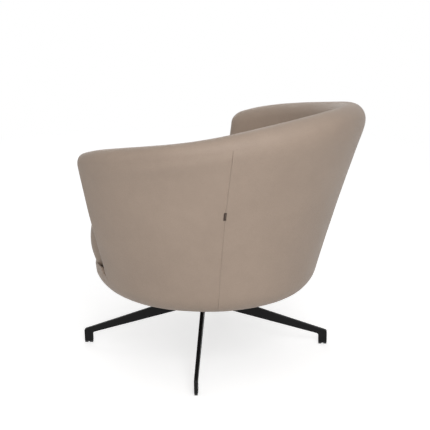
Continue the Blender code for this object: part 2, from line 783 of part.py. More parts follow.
def add_wall_layers(axis, leather, lining, plywood):
    """Outer panels, moulded tub and inner lining, one inside the other."""
    trim = math.degrees(GAP / LOW_RADIUS)
    side = side_angles()
    add_cover("back_panel", back_angles(), WALL_ROWS, layer_height, leather, axis)
    add_cover("left_panel", side, WALL_ROWS, layer_height, leather, axis)
    add_cover("right_panel", mirrored(side), WALL_ROWS, layer_height, leather, axis)
    add_cover("front_apron", front_angles(), 1, apron_height, leather, axis)
    stations = even(0.0, 1.0, WALL_ROWS)

    def core_place(angle, part, w):
        z = layer_height(angle, part, RING_TOP_Z + GAP)
        return wall_point(angle, z, CORE_DEPTH + w * CORE)

    core = slab("tub_core", trimmed(wall_angles(), trim), stations, core_place)
    add_object("tub_core", core, plywood, axis)

    def lining_place(angle, part, w):
        z = layer_height(angle, part, DECK_Z)
        return wall_point(angle, z, blend(LINING_DEPTH, WALL, w))

    pads = {"inner_back": back_angles(), "inner_left": side, "inner_right": mirrored(side)}
    for name, angles in pads.items():
        pad = slab(name, trimmed(angles, trim), stations, lining_place)
        add_object(name, pad, lining, axis)


def roll_edge(tip, reach, drop, corner):
    """Stations (angle, height) along one edge of the roll, from the back's middle to the arm's foot.

    The edge runs drop below the crest. Its corner takes up the angle reach and runs down by corner.
    """
    rim_end = tip - reach
    seam_end = ARM_SEAM_ANGLE - seam_corner_angle()
    side = []
    for angle in wall_angles():
        if 0.0 <= angle <= seam_end:
            spread = angle * rim_end / seam_end
            side.append((spread, rim_height(spread) - drop))
    for turn in even(0.0, 90.0, CORNER_COLUMNS)[1:]:
        angle = rim_end + reach * math.sin(math.radians(turn))
        fall = corner * (1.0 - math.cos(math.radians(turn)))
        side.append((angle, rim_height(angle) - drop - fall))
    foot = CUSHION_Z + GAP
    return side + [(tip, z) for z in even(side[-1][1], foot, ARM_ROWS)[1:]]


def add_rim_roll(axis, leather):
    """The half-round border: up one arm front, round the rim and down the other."""
    trim = math.degrees(GAP / LOW_RADIUS)
    back, down = TIP_CORNER
    crest = roll_edge(ARM_TIP_ANGLE, math.degrees(back / wall_radius(RIM_FRONT_Z)), 0.0, down)
    seam = roll_edge(ARM_SEAM_ANGLE + trim, seam_corner_angle() + trim, ROLL, SEAM_CORNER)
    sides = [list(zip(crest, seam))]
    sides.insert(0, [((-a, az), (-b, bz)) for (a, az), (b, bz) in reversed(sides[0]) if a > 0.0])
    loops = []
    for (tip_angle, tip_z), (seam_angle, seam_z) in sides[0] + sides[1]:
        loop = []
        for turn in even(0.0, 180.0, ROLL_STEPS):
            share = math.sin(math.radians(turn))
            angle = blend(seam_angle, tip_angle, share)
            z = blend(seam_z, tip_z, share)
            depth = 0.5 * WALL * (1.0 - math.cos(math.radians(turn)))
            loop.append(wall_point(angle, z, depth))
        loop.append(wall_point(seam_angle, seam_z, LINING_DEPTH))
        loops.append(loop)
    add_object("rim_roll", loft("rim_roll", loops, False), leather, axis)


def add_seat_frame(axis, plywood, beech, webbing, felt, black_cloth):
    """Base panel, seat ring, webbing, deck and dust cover."""
    angles = wall_angles()[:-1] + front_angles()[:-1]
    inset = COVER + FRAME_GAP
    lift = UNDER_COVER + GAP
    foot_radius = wall_radius(BOWL_TOP_Z) - BOWL_INSET
    shift = wall_shift(BOWL_TOP_Z)
    low = [on_ellipse(angle, foot_radius, shift, PANEL_Z) for angle in angles]
    high = [bowl_at(angle, PANEL_TOP_Z, inset, lift) for angle in angles]
    panel = add_object("base_panel", loft("base_panel", [low, high], False), plywood, axis)
    holes = posts("panel_holes", NUT_BARREL + FIT, PANEL_Z - OVERSHOOT, PANEL_TOP_Z + OVERSHOOT)
    cut(panel, cutter("panel_holes", holes, axis))

    def ring_section(angle):
        knee = blend(RING_Z, RING_TOP_Z, RING_KNEE)
        outer = [bowl_at(angle, z, inset, lift) for z in (RING_Z, knee)]
        outer.append(wall_point(angle, RING_TOP_Z, inset))
        across = on_ellipse(angle, 1.0, 0.0, 0.0)
        inner_high = outer[-1] - across * RING_HEAD
        inner_low = outer[0] - across * RING_FOOT
        return [inner_low, *outer, inner_high]

    ring = loft("seat_ring", [ring_section(angle) for angle in angles], True)
    add_object("seat_ring", ring, beech, axis)
    add_webbing(axis, webbing)
    deck = loft("seat_deck", deck_outlines(), False)
    add_object("seat_deck", deck, felt, axis)

    def dust_section(angle):
        turn = math.radians(angle)
        edge = on_ellipse(angle, foot_radius - TURN_IN - GAP, shift, BOTTOM_Z + GAP)
        hole = Vector((math.sin(turn) * DUST_HOLE, math.cos(turn) * DUST_HOLE, edge.z))
        rise = Vector((0.0, 0.0, DUST_COVER))
        return [hole, edge, edge + rise, hole + rise]

    dust = loft("dust_cover", [dust_section(angle) for angle in angles[::2]], True)
    add_object("dust_cover", dust, black_cloth, axis)


def deck_outlines():
    """The deck fills the tub up to the lining, and in front of the arms up to the apron."""
    trim = math.degrees(GAP / LOW_RADIUS)
    loops = []
    for z in (DECK_Z, DECK_TOP_Z):
        loop = [wall_point(angle, DECK_Z, WALL + GAP) for angle in trimmed(wall_angles(), trim)]
        loop += [wall_point(angle, DECK_Z, COVER + GAP) for angle in front_angles()]
        loops.append([Vector((point.x, point.y, z)) for point in loop])
    return loops


def add_webbing(axis, webbing):
    """Elastic straps across the seat and, over them, from front to back."""
    reach = wall_radius(RING_TOP_Z) - CORE_DEPTH - CORE - RING_HEAD + STRAP_LAP
    centre = wall_shift(RING_TOP_Z)
    half = 0.5 * STRAP_WIDTH

    def strap_mesh(name, side, offset, z):
        """side is 0 for a strap along X and 1 for one along Y."""
        far = abs(offset) + half
        across_reach = reach if side == 0 else reach * PLAN_RATIO
        along_reach = reach * PLAN_RATIO if side == 0 else reach
        length = along_reach * math.sqrt(1.0 - (far / across_reach) ** 2)

        def place(u, v, w):
            along = blend(-length, length, u)
            across = offset + blend(-half, half, v)
            x, y = (along, across) if side == 0 else (across, along)
            return Vector((x, y + centre, z + STRAP * w))

        return slab(name, (0.0, 0.5, 1.0), (0.0, 1.0), place)

    layers = (("cross_strap", CROSS_STRAPS, CROSS_STRAP_Z), ("long_strap", LONG_STRAPS, LONG_STRAP_Z))
    for side, (title, count, z) in enumerate(layers):
        pitch = STRAP_PITCH * (reach if side == 0 else reach * PLAN_RATIO)
        for number in range(count):
            offset = (number - 0.5 * (count - 1)) * pitch
            name = f"{title}_{number + 1}"
            add_object(name, strap_mesh(name, side, offset, z), webbing, axis)


def cushion_edge(angle, z):
    """Outline of the cushion at height z: the lining's inside, then the round front."""
    back = wall_radius(z) - WALL - SOFT_GAP
    drawn = CUSHION_SIDE[z > CUSHION_WIDEST_Z] * (z - CUSHION_WIDEST_Z) ** 2
    front = CUSHION_REACH - drawn
    share = smooth(min(angle, 360.0 - angle), *CUSHION_BLEND)
    radius = blend(back, front, share)
    shift = blend(wall_shift(z), LOW_SHIFT, share)
    return radius, shift


def add_cushion(axis, leather):
    """Loose seat cushion: flat below, sides drawn in, top crowned."""
    steps = CUSHION_COLUMNS
    foot = CUSHION_FOOT
    sides = even(CUSHION_Z + foot, CUSHION_EDGE_Z, 5)
    loops = []

    def loop_at(z_edge, inset, z):
        loop = []
        for step in range(steps):
            angle = 360.0 * step / steps
            radius, shift = cushion_edge(angle, z_edge)
            aside = arm_splay(angle, z_edge) * (1.0 - inset / radius)
            loop.append(on_ellipse(angle, radius - inset, shift, z) + aside)
        return loop

    loops.append(loop_at(CUSHION_Z + foot, foot, CUSHION_Z))
    loops += [loop_at(z, 0.0, z) for z in sides]
    run, rise = CUSHION_ROUND
    for inset, height in arc((run, 0.0), (run, rise), 180.0, 90.0, 4)[1:]:
        loops.append(loop_at(CUSHION_EDGE_Z, inset, CUSHION_EDGE_Z + height))
    edge_top = CUSHION_EDGE_Z + rise
    rim = cushion_edge(0.0, CUSHION_EDGE_Z)[0] - run
    for share in CUSHION_CROWN_RINGS:
        crown = math.cos(0.5 * math.pi * share) ** CUSHION_SWELL
        z = blend(edge_top, CUSHION_TOP_Z, crown)
        loops.append(loop_at(CUSHION_EDGE_Z, run + rim * (1.0 - share), z))
    shape = bmesh.new()
    rows = [[shape.verts.new(point) for point in loop] for loop in loops]
    for i in range(len(rows) - 1):
        for j in range(steps):
            k = (j + 1) % steps
            shape.faces.new((rows[i][j], rows[i][k], rows[i + 1][k], rows[i + 1][j]))
    shape.faces.new(rows[0])
    peak = shape.verts.new((0.0, wall_shift(CUSHION_EDGE_Z), CUSHION_TOP_Z))
    for j in range(steps):
        shape.faces.new((rows[-1][j], rows[-1][(j + 1) % steps], peak))
    add_object("seat_cushion", mesh_of("seat_cushion", shape), leather, axis)


def add_seam_tab(axis, brown):
    """A blank folded tab sewn into the left rear seam."""
    half = math.degrees(0.5 * TAB_SIZE[0] / wall_radius(TAB_Z))

    def place(u, v, w):
        angle = blend(REAR_SEAM_ANGLE - half, REAR_SEAM_ANGLE + half, u)
        z = TAB_Z + TAB_SIZE[1] * (v - 0.5)
        return wall_point(angle, z, -GAP - TAB_THICK * (1.0 - w))

    add_object("seam_tab", slab("seam_tab", even(0.0, 1.0, 2), even(0.0, 1.0, 2), place), brown, axis)


def main():
    for old in list(bpy.data.objects):
        bpy.data.objects.remove(old)
    leather = make_material("taupe_leather", (0.375, 0.305, 0.245), 0.5)
    lining = make_material("taupe_lining_leather", (0.36, 0.29, 0.235), 0.5)
    steel = make_material("black_powder_coat", (0.012, 0.012, 0.013), 0.45)
    plastic = make_material("black_nylon", (0.02, 0.02, 0.02), 0.55)
    zinc = make_material("zinc_plated_steel", (0.62, 0.62, 0.6), 0.35, 1.0)
    plywood = make_material("birch_plywood", (0.62, 0.47, 0.3), 0.6)
    beech = make_material("beech", (0.55, 0.38, 0.24), 0.6)
    webbing = make_material("elastic_webbing", (0.1, 0.09, 0.08), 0.9)
    felt = make_material("deck_felt", (0.14, 0.13, 0.12), 0.95)
    black_cloth = make_material("black_dust_cloth", (0.015, 0.015, 0.015), 0.95)
    brown = make_material("dark_brown_leather", (0.07, 0.038, 0.023), 0.55)
    base_axis = make_empty("base_axis")
    seat_axis = make_empty("seat_swivel_axis")
    add_base(base_axis, steel, plastic, zinc)
    add_swivel(seat_axis, steel, zinc)
    add_seat_frame(seat_axis, plywood, beech, webbing, felt, black_cloth)
    add_wall_layers(seat_axis, leather, lining, plywood)
    add_rim_roll(seat_axis, leather)
    add_cushion(seat_axis, leather)
    add_seam_tab(seat_axis, brown)


main()
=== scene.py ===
# %% [markdown]
# # Swivel lounge chair
# A padded leather tub turns on a cross of four flat steel blades. The frame that is loaded here is
# the measured model of it. Every node of it lies in its place, in metres, and rides on one of two
# bodies: "base" stands on the floor, and "seat" turns about an upright axis.
# What is stiff keeps its mesh and only gets a finish. What is soft is made again, finer, in the
# same place, because leather over foam shows its shape in every highlight.

import functools
import json
import math

import bmesh
import bpy
import numpy as np
from mathutils import Euler, Matrix, Vector, kdtree

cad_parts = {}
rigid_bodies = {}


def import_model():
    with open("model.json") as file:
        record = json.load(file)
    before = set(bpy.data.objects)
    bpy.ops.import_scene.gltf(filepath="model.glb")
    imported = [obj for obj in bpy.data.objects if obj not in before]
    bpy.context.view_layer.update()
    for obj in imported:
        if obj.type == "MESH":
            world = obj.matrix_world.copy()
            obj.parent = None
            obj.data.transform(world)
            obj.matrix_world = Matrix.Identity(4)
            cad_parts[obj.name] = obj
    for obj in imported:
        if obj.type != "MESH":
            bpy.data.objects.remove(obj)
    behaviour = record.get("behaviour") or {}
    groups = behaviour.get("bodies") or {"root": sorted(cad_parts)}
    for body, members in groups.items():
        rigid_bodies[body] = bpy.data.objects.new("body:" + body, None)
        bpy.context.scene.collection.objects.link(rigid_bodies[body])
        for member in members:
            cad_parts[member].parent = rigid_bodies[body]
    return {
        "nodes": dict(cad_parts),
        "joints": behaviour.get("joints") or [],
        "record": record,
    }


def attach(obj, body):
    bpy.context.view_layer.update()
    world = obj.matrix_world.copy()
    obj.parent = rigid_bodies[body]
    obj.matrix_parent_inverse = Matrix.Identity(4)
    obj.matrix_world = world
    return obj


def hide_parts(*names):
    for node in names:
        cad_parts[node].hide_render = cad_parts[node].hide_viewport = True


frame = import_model()
scene = bpy.context.scene
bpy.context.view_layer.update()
AXIS_Y = frame["joints"][0]["pos_m"][1]
print("nodes:", len(frame["nodes"]), " swivel axis at y =", AXIS_Y)


def add_object(name, data):
    made = bpy.data.objects.new(name, data)
    scene.collection.objects.link(made)
    return made


def mesh_of(name, shape):
    """A mesh from a bmesh, which is freed."""
    mesh = bpy.data.meshes.new(name)
    shape.to_mesh(mesh)
    shape.free()
    return mesh


# %% [markdown]
# ## Camera
# The photograph was taken from the chair's left rear, a little above it, with a long lens. A camera
# could be placed by eye, but then the blades, feet and rims would never all land on their outlines.
# So its place, heading, drop and roll were solved from the four equal blades and the two rims.

# %% Camera
CAMERA_PLACE = (2.10598, 1.67186, 1.13981)  # from the foot of the swivel axis
CAMERA_HEADING, CAMERA_DROP, CAMERA_ROLL = 127.735, 16.159, -1.047
CAMERA_LENS, SENSOR = 88.98, 36.0

camera = add_object("camera", bpy.data.cameras.new("camera"))
camera.data.lens = CAMERA_LENS
camera.data.sensor_width = SENSOR
aim = Euler((math.radians(90.0 - CAMERA_DROP), 0.0, math.radians(CAMERA_HEADING))).to_matrix()
aim = aim @ Matrix.Rotation(math.radians(CAMERA_ROLL), 3, "Z")
place = Matrix.Translation((CAMERA_PLACE[0], CAMERA_PLACE[1] + AXIS_Y, CAMERA_PLACE[2]))
camera.matrix_world = place @ aim.to_4x4()
scene.camera = camera
scene.view_settings.view_transform = "Standard"
print("field of view:", round(math.degrees(camera.data.angle), 2), "degrees")

# %% [markdown]
# ## Nodes in code
# A node tree is easiest to read when each node is one line: its kind, what goes into its sockets
# and its settings. A value that is another node's output becomes a link, and the helpers find the
# tree they work in from such a value.


# %% Helpers for node trees
def feed(socket, value):
    """Sets a socket, or links it when the value is another node's output."""
    if isinstance(value, bpy.types.NodeSocket):
        socket.id_data.links.new(value, socket)
    else:
        socket.default_value = value


def node(tree, kind, values=None, **settings):
    made = tree.nodes.new(kind)
    for key, value in settings.items():
        setattr(made, key, value)
    for key, value in (values or {}).items():
        feed(made.inputs[key], value)
    return made


def tree_of(*values):
    return next(value.id_data for value in values if isinstance(value, bpy.types.NodeSocket))


def maths(operation, *values):
    sockets = dict(enumerate(values))
    return node(tree_of(*values), "ShaderNodeMath", sockets, operation=operation).outputs[0]


def plus(*values):
    return functools.reduce(functools.partial(maths, "ADD"), values)


def times(*values):
    return functools.reduce(functools.partial(maths, "MULTIPLY"), values)


def vectors(operation, *values, out="Vector", **named):
    sockets = dict(enumerate(values)) | named
    made = node(tree_of(*sockets.values()), "ShaderNodeVectorMath", sockets, operation=operation)
    return made.outputs[out]


def mixed(share, first, second):
    """A colour between two colours."""
    made = node(tree_of(share, first, second), "ShaderNodeMix", data_type="RGBA")
    sockets = [socket for socket in made.inputs if socket.enabled]
    for socket, value in zip(sockets, (share, first, second)):
        feed(socket, value)
    return next(socket for socket in made.outputs if socket.enabled)


def ranged(value, low, high, to_low=0.0, to_high=1.0):
    """Carries low to to_low and high to to_high, evenly between them and held beyond them."""
    sockets = {"Value": value, "From Min": low, "From Max": high}
    sockets |= {"To Min": to_low, "To Max": to_high}
    return node(tree_of(value), "ShaderNodeMapRange", sockets).outputs[0]


def grey(level):
    return (level, level, level, 1.0)


# %% [markdown]
# ## Floor, backdrop and light
# The chair stands in an empty white studio. Raising the lamps until the floor turns white would
# bleach the leather, so the lamps stay at a plain level. The floor and the world show themselves
# brighter to the camera and to reflections only, and the floor still carries the soft shadow.

# %% World
BACKDROP = 1.0
AMBIENT = 0.374


def shown_to(tree, *rays):
    """1 for these kinds of rays, 0 for the rays that carry light to other surfaces."""
    path = node(tree, "ShaderNodeLightPath").outputs
    return functools.reduce(functools.partial(maths, "MAXIMUM"), (path[ray] for ray in rays))


world = bpy.data.worlds.new("studio")
world.use_nodes = True
scene.world = world
tree = world.node_tree
tree.nodes.clear()
seen = shown_to(tree, "Is Camera Ray", "Is Glossy Ray", "Is Transmission Ray")
strength = ranged(seen, 0.0, 1.0, AMBIENT, BACKDROP)
sky = node(tree, "ShaderNodeBackground", {"Color": grey(1.0), "Strength": strength})
node(tree, "ShaderNodeOutputWorld", {"Surface": sky.outputs[0]})

# %% Floor
FLOOR_REACH, FLOOR_SIDES = 9.0, 96
FLOOR_ALBEDO = 0.62
FLOOR_SHADE = 0.76   # how much of the floor's look still follows the light
FLOOR_GLOW = 0.565   # what is added for the camera
FLOOR_FADE = (1.1, 3.0)

shape = bmesh.new()
bmesh.ops.create_circle(shape, cap_ends=True, segments=FLOOR_SIDES, radius=FLOOR_REACH)
floor = add_object("floor", mesh_of("floor", shape))

floor_paint = bpy.data.materials.new("studio_floor")
floor_paint.use_nodes = True
tree = floor_paint.node_tree
tree.nodes.clear()
seen = shown_to(tree, "Is Camera Ray", "Is Glossy Ray")
paint = node(tree, "ShaderNodeBsdfDiffuse", {"Color": grey(FLOOR_ALBEDO)})
shade = node(tree, "ShaderNodeBsdfDiffuse", {"Color": grey(FLOOR_SHADE)})
glow = node(tree, "ShaderNodeEmission", {"Color": grey(FLOOR_GLOW)})
lit = node(tree, "ShaderNodeAddShader", {0: shade.outputs[0], 1: glow.outputs[0]})
spot = node(tree, "ShaderNodeTexCoord").outputs["Object"]
fade = ranged(vectors("LENGTH", spot, out="Value"), *FLOOR_FADE)
white = node(tree, "ShaderNodeEmission", {"Color": grey(BACKDROP)})
shown = node(tree, "ShaderNodeMixShader", {0: fade, 1: lit.outputs[0], 2: white.outputs[0]})
whole = node(tree, "ShaderNodeMixShader", {0: seen, 1: paint.outputs[0], 2: shown.outputs[0]})
node(tree, "ShaderNodeOutputMaterial", {"Surface": whole.outputs[0]})
floor.data.materials.append(floor_paint)

# %% Lamps
LAMPS = {  # place, side in metres, watts
    "camera_box": ((2.54, 1.92, 1.09), 1.6, 37.3),
    "high_box": ((1.7, 2.3, 2.5), 1.6, 31.3),
    "top_box": ((-0.3, 0.2, 3.3), 2.4, 8.4),
    "front_fill": ((-1.8, -2.3, 1.7), 1.8, 16.0),
}
LAMPS_LOOK_AT = Vector((0.0, AXIS_Y, 0.4))

for name, (spot, size, power) in LAMPS.items():
    lamp = add_object(name, bpy.data.lights.new(name, "AREA"))
    lamp.data.size = size
    lamp.data.energy = power
    lamp.location = spot
    lamp.rotation_mode = "QUATERNION"
    lamp.rotation_quaternion = (Vector(spot) - LAMPS_LOOK_AT).to_track_quat("Z", "Y")
print("lamps:", list(LAMPS))

# %% [markdown]
# ## Finishes
# Every finish is made from nodes, in Object coordinates, which are metres here. So a grain of one
# millimetre is one millimetre on every piece. An effect that several finishes use is a node group:
# it takes sizes and colours by name, and puts out a colour, a roughness and a height. The shader
# itself stays in each material, and the height goes to its normal through one bump node.

# %% Helpers for finishes
SHEEN_ROUGHNESS = 0.45


def new_group(name, inputs, outputs):
    """A shader node group. An input with no value is a vector, one with several is a colour."""
    tree = bpy.data.node_groups.new(name, "ShaderNodeTree")
    for key, value in inputs.items():
        kind = "Vector" if value is None else "Float" if isinstance(value, float) else "Color"
        socket = tree.interface.new_socket(key, in_out="INPUT", socket_type="NodeSocket" + kind)
        if value is not None:
            socket.default_value = value
    for key in outputs:
        kind = "Color" if key == "Colour" else "Float"
        tree.interface.new_socket(key, in_out="OUTPUT", socket_type="NodeSocket" + kind)
    return tree, tree.nodes.new("NodeGroupInput").outputs


def use(group, values):
    """Places a group with its own values in the tree that they come from."""
    return node(tree_of(*values.values()), "ShaderNodeGroup", values, node_tree=group).outputs


def noise(place, scale, detail=2.0, rough=0.5, out="Fac"):
    values = {"Vector": place, "Scale": scale, "Detail": detail, "Roughness": rough}
    return node(tree_of(place), "ShaderNodeTexNoise", values).outputs[out]


def cells(place, scale, feature="F1"):
    values = {"Vector": place, "Scale": scale}
    return node(tree_of(place), "ShaderNodeTexVoronoi", values, feature=feature).outputs["Distance"]


def wave(place, values, direction):
    values = {"Vector": place} | values
    made = node(tree_of(place), "ShaderNodeTexWave", values, bands_direction=direction)
    return made.outputs["Fac"]


def stretched(place, *factors):
    return vectors("MULTIPLY", place, factors)


def darker(colour, share):
    """A colour times a number."""
    return vectors("SCALE", colour, Scale=share)


def rgb(*colour):
    return (*colour, 1.0)


def begin(name):
    """Starts a material and gives it with its Object coordinates."""
    material = bpy.data.materials.new(name)
    material.use_nodes = True
    material.node_tree.nodes.clear()
    return material, node(material.node_tree, "ShaderNodeTexCoord").outputs["Object"]


def finish(material, colour, height, bump, roughness, sheen=0.0, base_normal=None, **constants):
    """Ends a material: its Principled shader, with constants set on the shader's own sockets."""
    tree = material.node_tree
    values = {"Height": height, "Distance": bump, "Strength": 1.0}
    if base_normal is not None:
        values["Normal"] = base_normal
    normal = node(tree, "ShaderNodeBump", values).outputs[0]
    sockets = {"Base Color": colour, "Roughness": roughness, "Normal": normal}
    sockets |= {key.replace("_", " "): value for key, value in constants.items()}
    if sheen:
        sockets |= {"Sheen Weight": sheen, "Sheen Roughness": SHEEN_ROUGHNESS}
    shader = node(tree, "ShaderNodeBsdfPrincipled", sockets)
    node(tree, "ShaderNodeOutputMaterial", {"Surface": shader.outputs[0]})
    print("finish:", material.name, len(tree.nodes), "nodes")
    return material


# %% [markdown]
# ## Leather
# The real leather is a soft, pigmented hide with a fine pebble grain: small cells a little over a
# millimetre across with creases between them, finer ones inside, and pores. Its tone wanders over
# the hide, and it is a little duller in the creases and shinier on the pebbles. The creases and
# pores are also darkened in the colour, which is painted shade. Cells of two sizes, pushed out of
# shape by noise, give the creases, and broad noise gives the hide's tone.

# %% Leather grain
WARP_SCALE, WARP = 260.0, 0.0011          # how the cells are pushed out of shape
SMALLER, PORE_COUNT = 2.3, 1.4            # cells and pores for each pebble, along a line
PEBBLE_SHARE, SMALL_SHARE, PORE_SHARE = 0.7, 0.3, 0.18
# painted shade in the creases and pores, and how much duller the creases and clouds are
CREASE_PAINTED_SHADE, PORE_PAINTED_SHADE, CREASE_DULL, CLOUD_DULL = -0.16, -0.10, 0.16, 0.09
LEVEL = 1.06                              # makes up for the painted shade in the creases and pores

tree, entry = new_group(
    "leather_grain",
    {
        "Place": None,
        "Colour": (0.4, 0.33, 0.26, 1.0),
        "Pebbles per Metre": 820.0,
        "Mottle": 0.07,
        "Shine": 0.5,
    },
    ("Colour", "Roughness", "Height"),
)
place, count = entry["Place"], entry["Pebbles per Metre"]
warp = vectors("SCALE", noise(place, WARP_SCALE, 1.0, out="Color"), Scale=WARP)
bent = vectors("ADD", place, warp)
pebble = ranged(cells(bent, count, "DISTANCE_TO_EDGE"), 0.0, 0.22)
small = ranged(cells(bent, times(count, SMALLER), "DISTANCE_TO_EDGE"), 0.0, 0.2)
pores = ranged(cells(place, times(count, PORE_COUNT)), 0.06, 0.16)
stretch = ranged(noise(place, 9.0, 3.0), 0.35, 0.65, 0.55, 1.0)
relief = times(plus(times(pebble, PEBBLE_SHARE), times(small, SMALL_SHARE)), stretch)
relief = plus(relief, times(pores, PORE_SHARE))
hide = ranged(noise(place, 5.5, 4.0, 0.6), 0.3, 0.7, -1.0, 1.0)
cloud = ranged(noise(place, 38.0, 3.0, 0.6), 0.3, 0.7, -0.45, 0.45)
tone = times(plus(hide, cloud), entry["Mottle"])
in_crease, in_pore = maths("SUBTRACT", 1.0, pebble), maths("SUBTRACT", 1.0, pores)
# painted shade: the creases and pores are darkened in the colour
painted_shade = plus(times(in_crease, CREASE_PAINTED_SHADE), times(in_pore, PORE_PAINTED_SHADE))
colour = darker(entry["Colour"], plus(plus(LEVEL, tone), painted_shade))
rough = plus(entry["Shine"], times(in_crease, CREASE_DULL), times(cloud, CLOUD_DULL))
node(tree, "NodeGroupOutput", {"Colour": colour, "Roughness": rough, "Height": relief})
leather_grain = tree

# %% Leather finishes
TAUPE = (0.376, 0.290, 0.229)
LINING_TAUPE = (0.345, 0.262, 0.210)
TAB_BROWN = (0.045, 0.025, 0.016)
LEATHER_SPECULAR = 0.42


def leather(name, colour, pebbles, mottle, shine, depth, sheen=0.08):
    material, place = begin(name)
    values = {"Place": place, "Colour": rgb(*colour), "Pebbles per Metre": pebbles}
    grain = use(leather_grain, values | {"Mottle": mottle, "Shine": shine})
    looks = grain["Colour"], grain["Height"], depth, grain["Roughness"], sheen
    return finish(material, *looks, Specular_IOR_Level=LEATHER_SPECULAR)


outer_leather = leather("outer_leather", TAUPE, 820.0, 0.045, 0.50, 0.00013)
lining_leather = leather("lining_leather", LINING_TAUPE, 780.0, 0.055, 0.52, 0.00013)
seat_leather = leather("seat_leather", TAUPE, 760.0, 0.060, 0.48, 0.00015)
tab_leather = leather("tab_leather", TAB_BROWN, 1500.0, 0.12, 0.42, 0.00006, sheen=0.0)

# %% [markdown]
# ## Steel, nylon and zinc
# The blades are cut from flat bar, welded to the hub and powder coated in satin black. Powder coat
# is not flat: it dries with an orange peel a few millimetres across, lies thicker on flats and
# rounds every edge. The Bevel node finds the edges; there the coat is rubbed a little brighter and
# its normal is rounded, so that the edge catches the light as a line. The nylon is black too, but
# moulded with a fine spark texture, and the zinc plate is a bright metal with a cloudy film.

# %% Coat and edges
BEVEL_SAMPLES = 6
EDGE_WEAR, DUST_TINT, DUST_DULL, EDGE_SHINE, SPRAY = 0.55, 0.06, 0.4, 0.1, 0.15
DUST_COLOUR = (0.16, 0.15, 0.14)

edge_mask, entry = new_group("edge_mask", {"Rounded": None, "Flat": None, "Place": None}, ("Edge",))
agree = vectors("DOT_PRODUCT", entry["Rounded"], entry["Flat"], out="Value")
broken = ranged(noise(entry["Place"], 120.0, 3.0, 0.7), 0.35, 0.6, 0.25, 1.0)
edge = times(ranged(agree, 0.995, 0.93), broken)
node(edge_mask, "NodeGroupOutput", {"Edge": edge})

sprayed_coat, entry = new_group(
    "sprayed_coat",
    {
        "Place": None,
        "Colour": (0.012, 0.012, 0.013, 1.0),
        "Worn Colour": (0.06, 0.06, 0.06, 1.0),
        "Edge": 0.0,
        "Peel per Metre": 420.0,
        "Shine": 0.4,
    },
    ("Colour", "Roughness", "Height"),
)
place, edge = entry["Place"], entry["Edge"]
dust = ranged(noise(place, 26.0, 5.0, 0.65), 0.45, 0.75, 0.0, 0.35)
colour = mixed(times(edge, EDGE_WEAR), entry["Colour"], entry["Worn Colour"])
colour = mixed(times(dust, DUST_TINT), colour, rgb(*DUST_COLOUR))
rough = maths("SUBTRACT", plus(entry["Shine"], times(dust, DUST_DULL)), times(edge, EDGE_SHINE))
height = plus(noise(place, entry["Peel per Metre"]), times(noise(place, 2600.0, 1.0), SPRAY))
node(sprayed_coat, "NodeGroupOutput", {"Colour": colour, "Roughness": rough, "Height": height})


def rounded_normal(tree, radius):
    return node(tree, "ShaderNodeBevel", {"Radius": radius}, samples=BEVEL_SAMPLES).outputs[0]


def coated(name, radius, bump, values, **constants):
    """A sprayed or moulded surface whose edges are rounded and rubbed."""
    material, place = begin(name)
    rounded = rounded_normal(material.node_tree, radius)
    flat = node(material.node_tree, "ShaderNodeNewGeometry").outputs["Normal"]
    edge = use(edge_mask, {"Rounded": rounded, "Flat": flat, "Place": place})["Edge"]
    coat = use(sprayed_coat, {"Place": place, "Edge": edge} | values)
    looks = coat["Colour"], coat["Height"], bump, coat["Roughness"]
    return finish(material, *looks, base_normal=rounded, **constants)


coat_values = {"Shine": 0.50, "Colour": rgb(0.0055, 0.0055, 0.0058)}
powder_coat = coated("powder_coat", 0.0012, 0.00006, coat_values, Specular_IOR_Level=0.14)
nylon_values = {"Shine": 0.5, "Peel per Metre": 1900.0}
nylon_values |= {"Colour": rgb(0.02, 0.02, 0.021), "Worn Colour": rgb(0.11, 0.11, 0.11)}
nylon = coated("moulded_nylon", 0.0006, 0.00005, nylon_values)

# %% Zinc
material, place = begin("zinc_plate")
rounded = rounded_normal(material.node_tree, 0.0004)
film = ranged(noise(place, 60.0, 3.0), 0.35, 0.65)
spangle = ranged(cells(place, 380.0), 0.0, 0.6, 0.9, 1.05)
colour = darker(mixed(film, rgb(0.60, 0.60, 0.59), rgb(0.66, 0.63, 0.55)), spangle)
drawn = noise(stretched(place, 1.0, 1.0, 14.0), 420.0)
rough = plus(0.26, times(film, 0.12))
zinc = finish(material, colour, drawn, 0.00002, rough, base_normal=rounded, Metallic=1.0)

# %% [markdown]
# ## Wood
# The seat's bottom panel and the tub are birch plywood, and the ring is solid beech. Plywood shows
# two faces: along the sheet it is pale rotary-cut veneer with broad, wandering figure, and on a cut
# edge its plies lie as thin light and dark lines. Beech is even and pinkish with short dark flecks.

# %% Plywood and beech
PLY = 0.0015  # thickness of one veneer
FIGURE = {"Scale": 16.0, "Distortion": 9.0, "Detail": 3.0, "Detail Scale": 1.2}
FIGURE_SHARE, FIBRE_SHARE = 0.45, 0.4

wood_figure, entry = new_group(
    "wood_figure",
    {
        "Place": None,
        "Pale": (0.62, 0.47, 0.30, 1.0),
        "Dark": (0.47, 0.33, 0.19, 1.0),
        "Flecks": 0.0,
    },
    ("Colour", "Height", "Roughness"),
)
place = entry["Place"]
figure = wave(stretched(place, 1.0, 0.12, 1.0), FIGURE, "X")
fibre = noise(stretched(place, 1.0, 0.04, 1.0), 900.0)
fleck = ranged(noise(stretched(place, 1.0, 0.22, 1.0), 620.0, 1.0), 0.62, 0.70)
share = plus(times(figure, FIGURE_SHARE), times(fibre, FIBRE_SHARE), times(fleck, entry["Flecks"]))
colour = mixed(share, entry["Pale"], entry["Dark"])
rough = ranged(fibre, 0.3, 0.7, 0.55, 0.72)
node(wood_figure, "NodeGroupOutput", {"Colour": colour, "Height": fibre, "Roughness": rough})


def z_of(vector):
    return node(tree_of(vector), "ShaderNodeSeparateXYZ", {0: vector}).outputs["Z"]


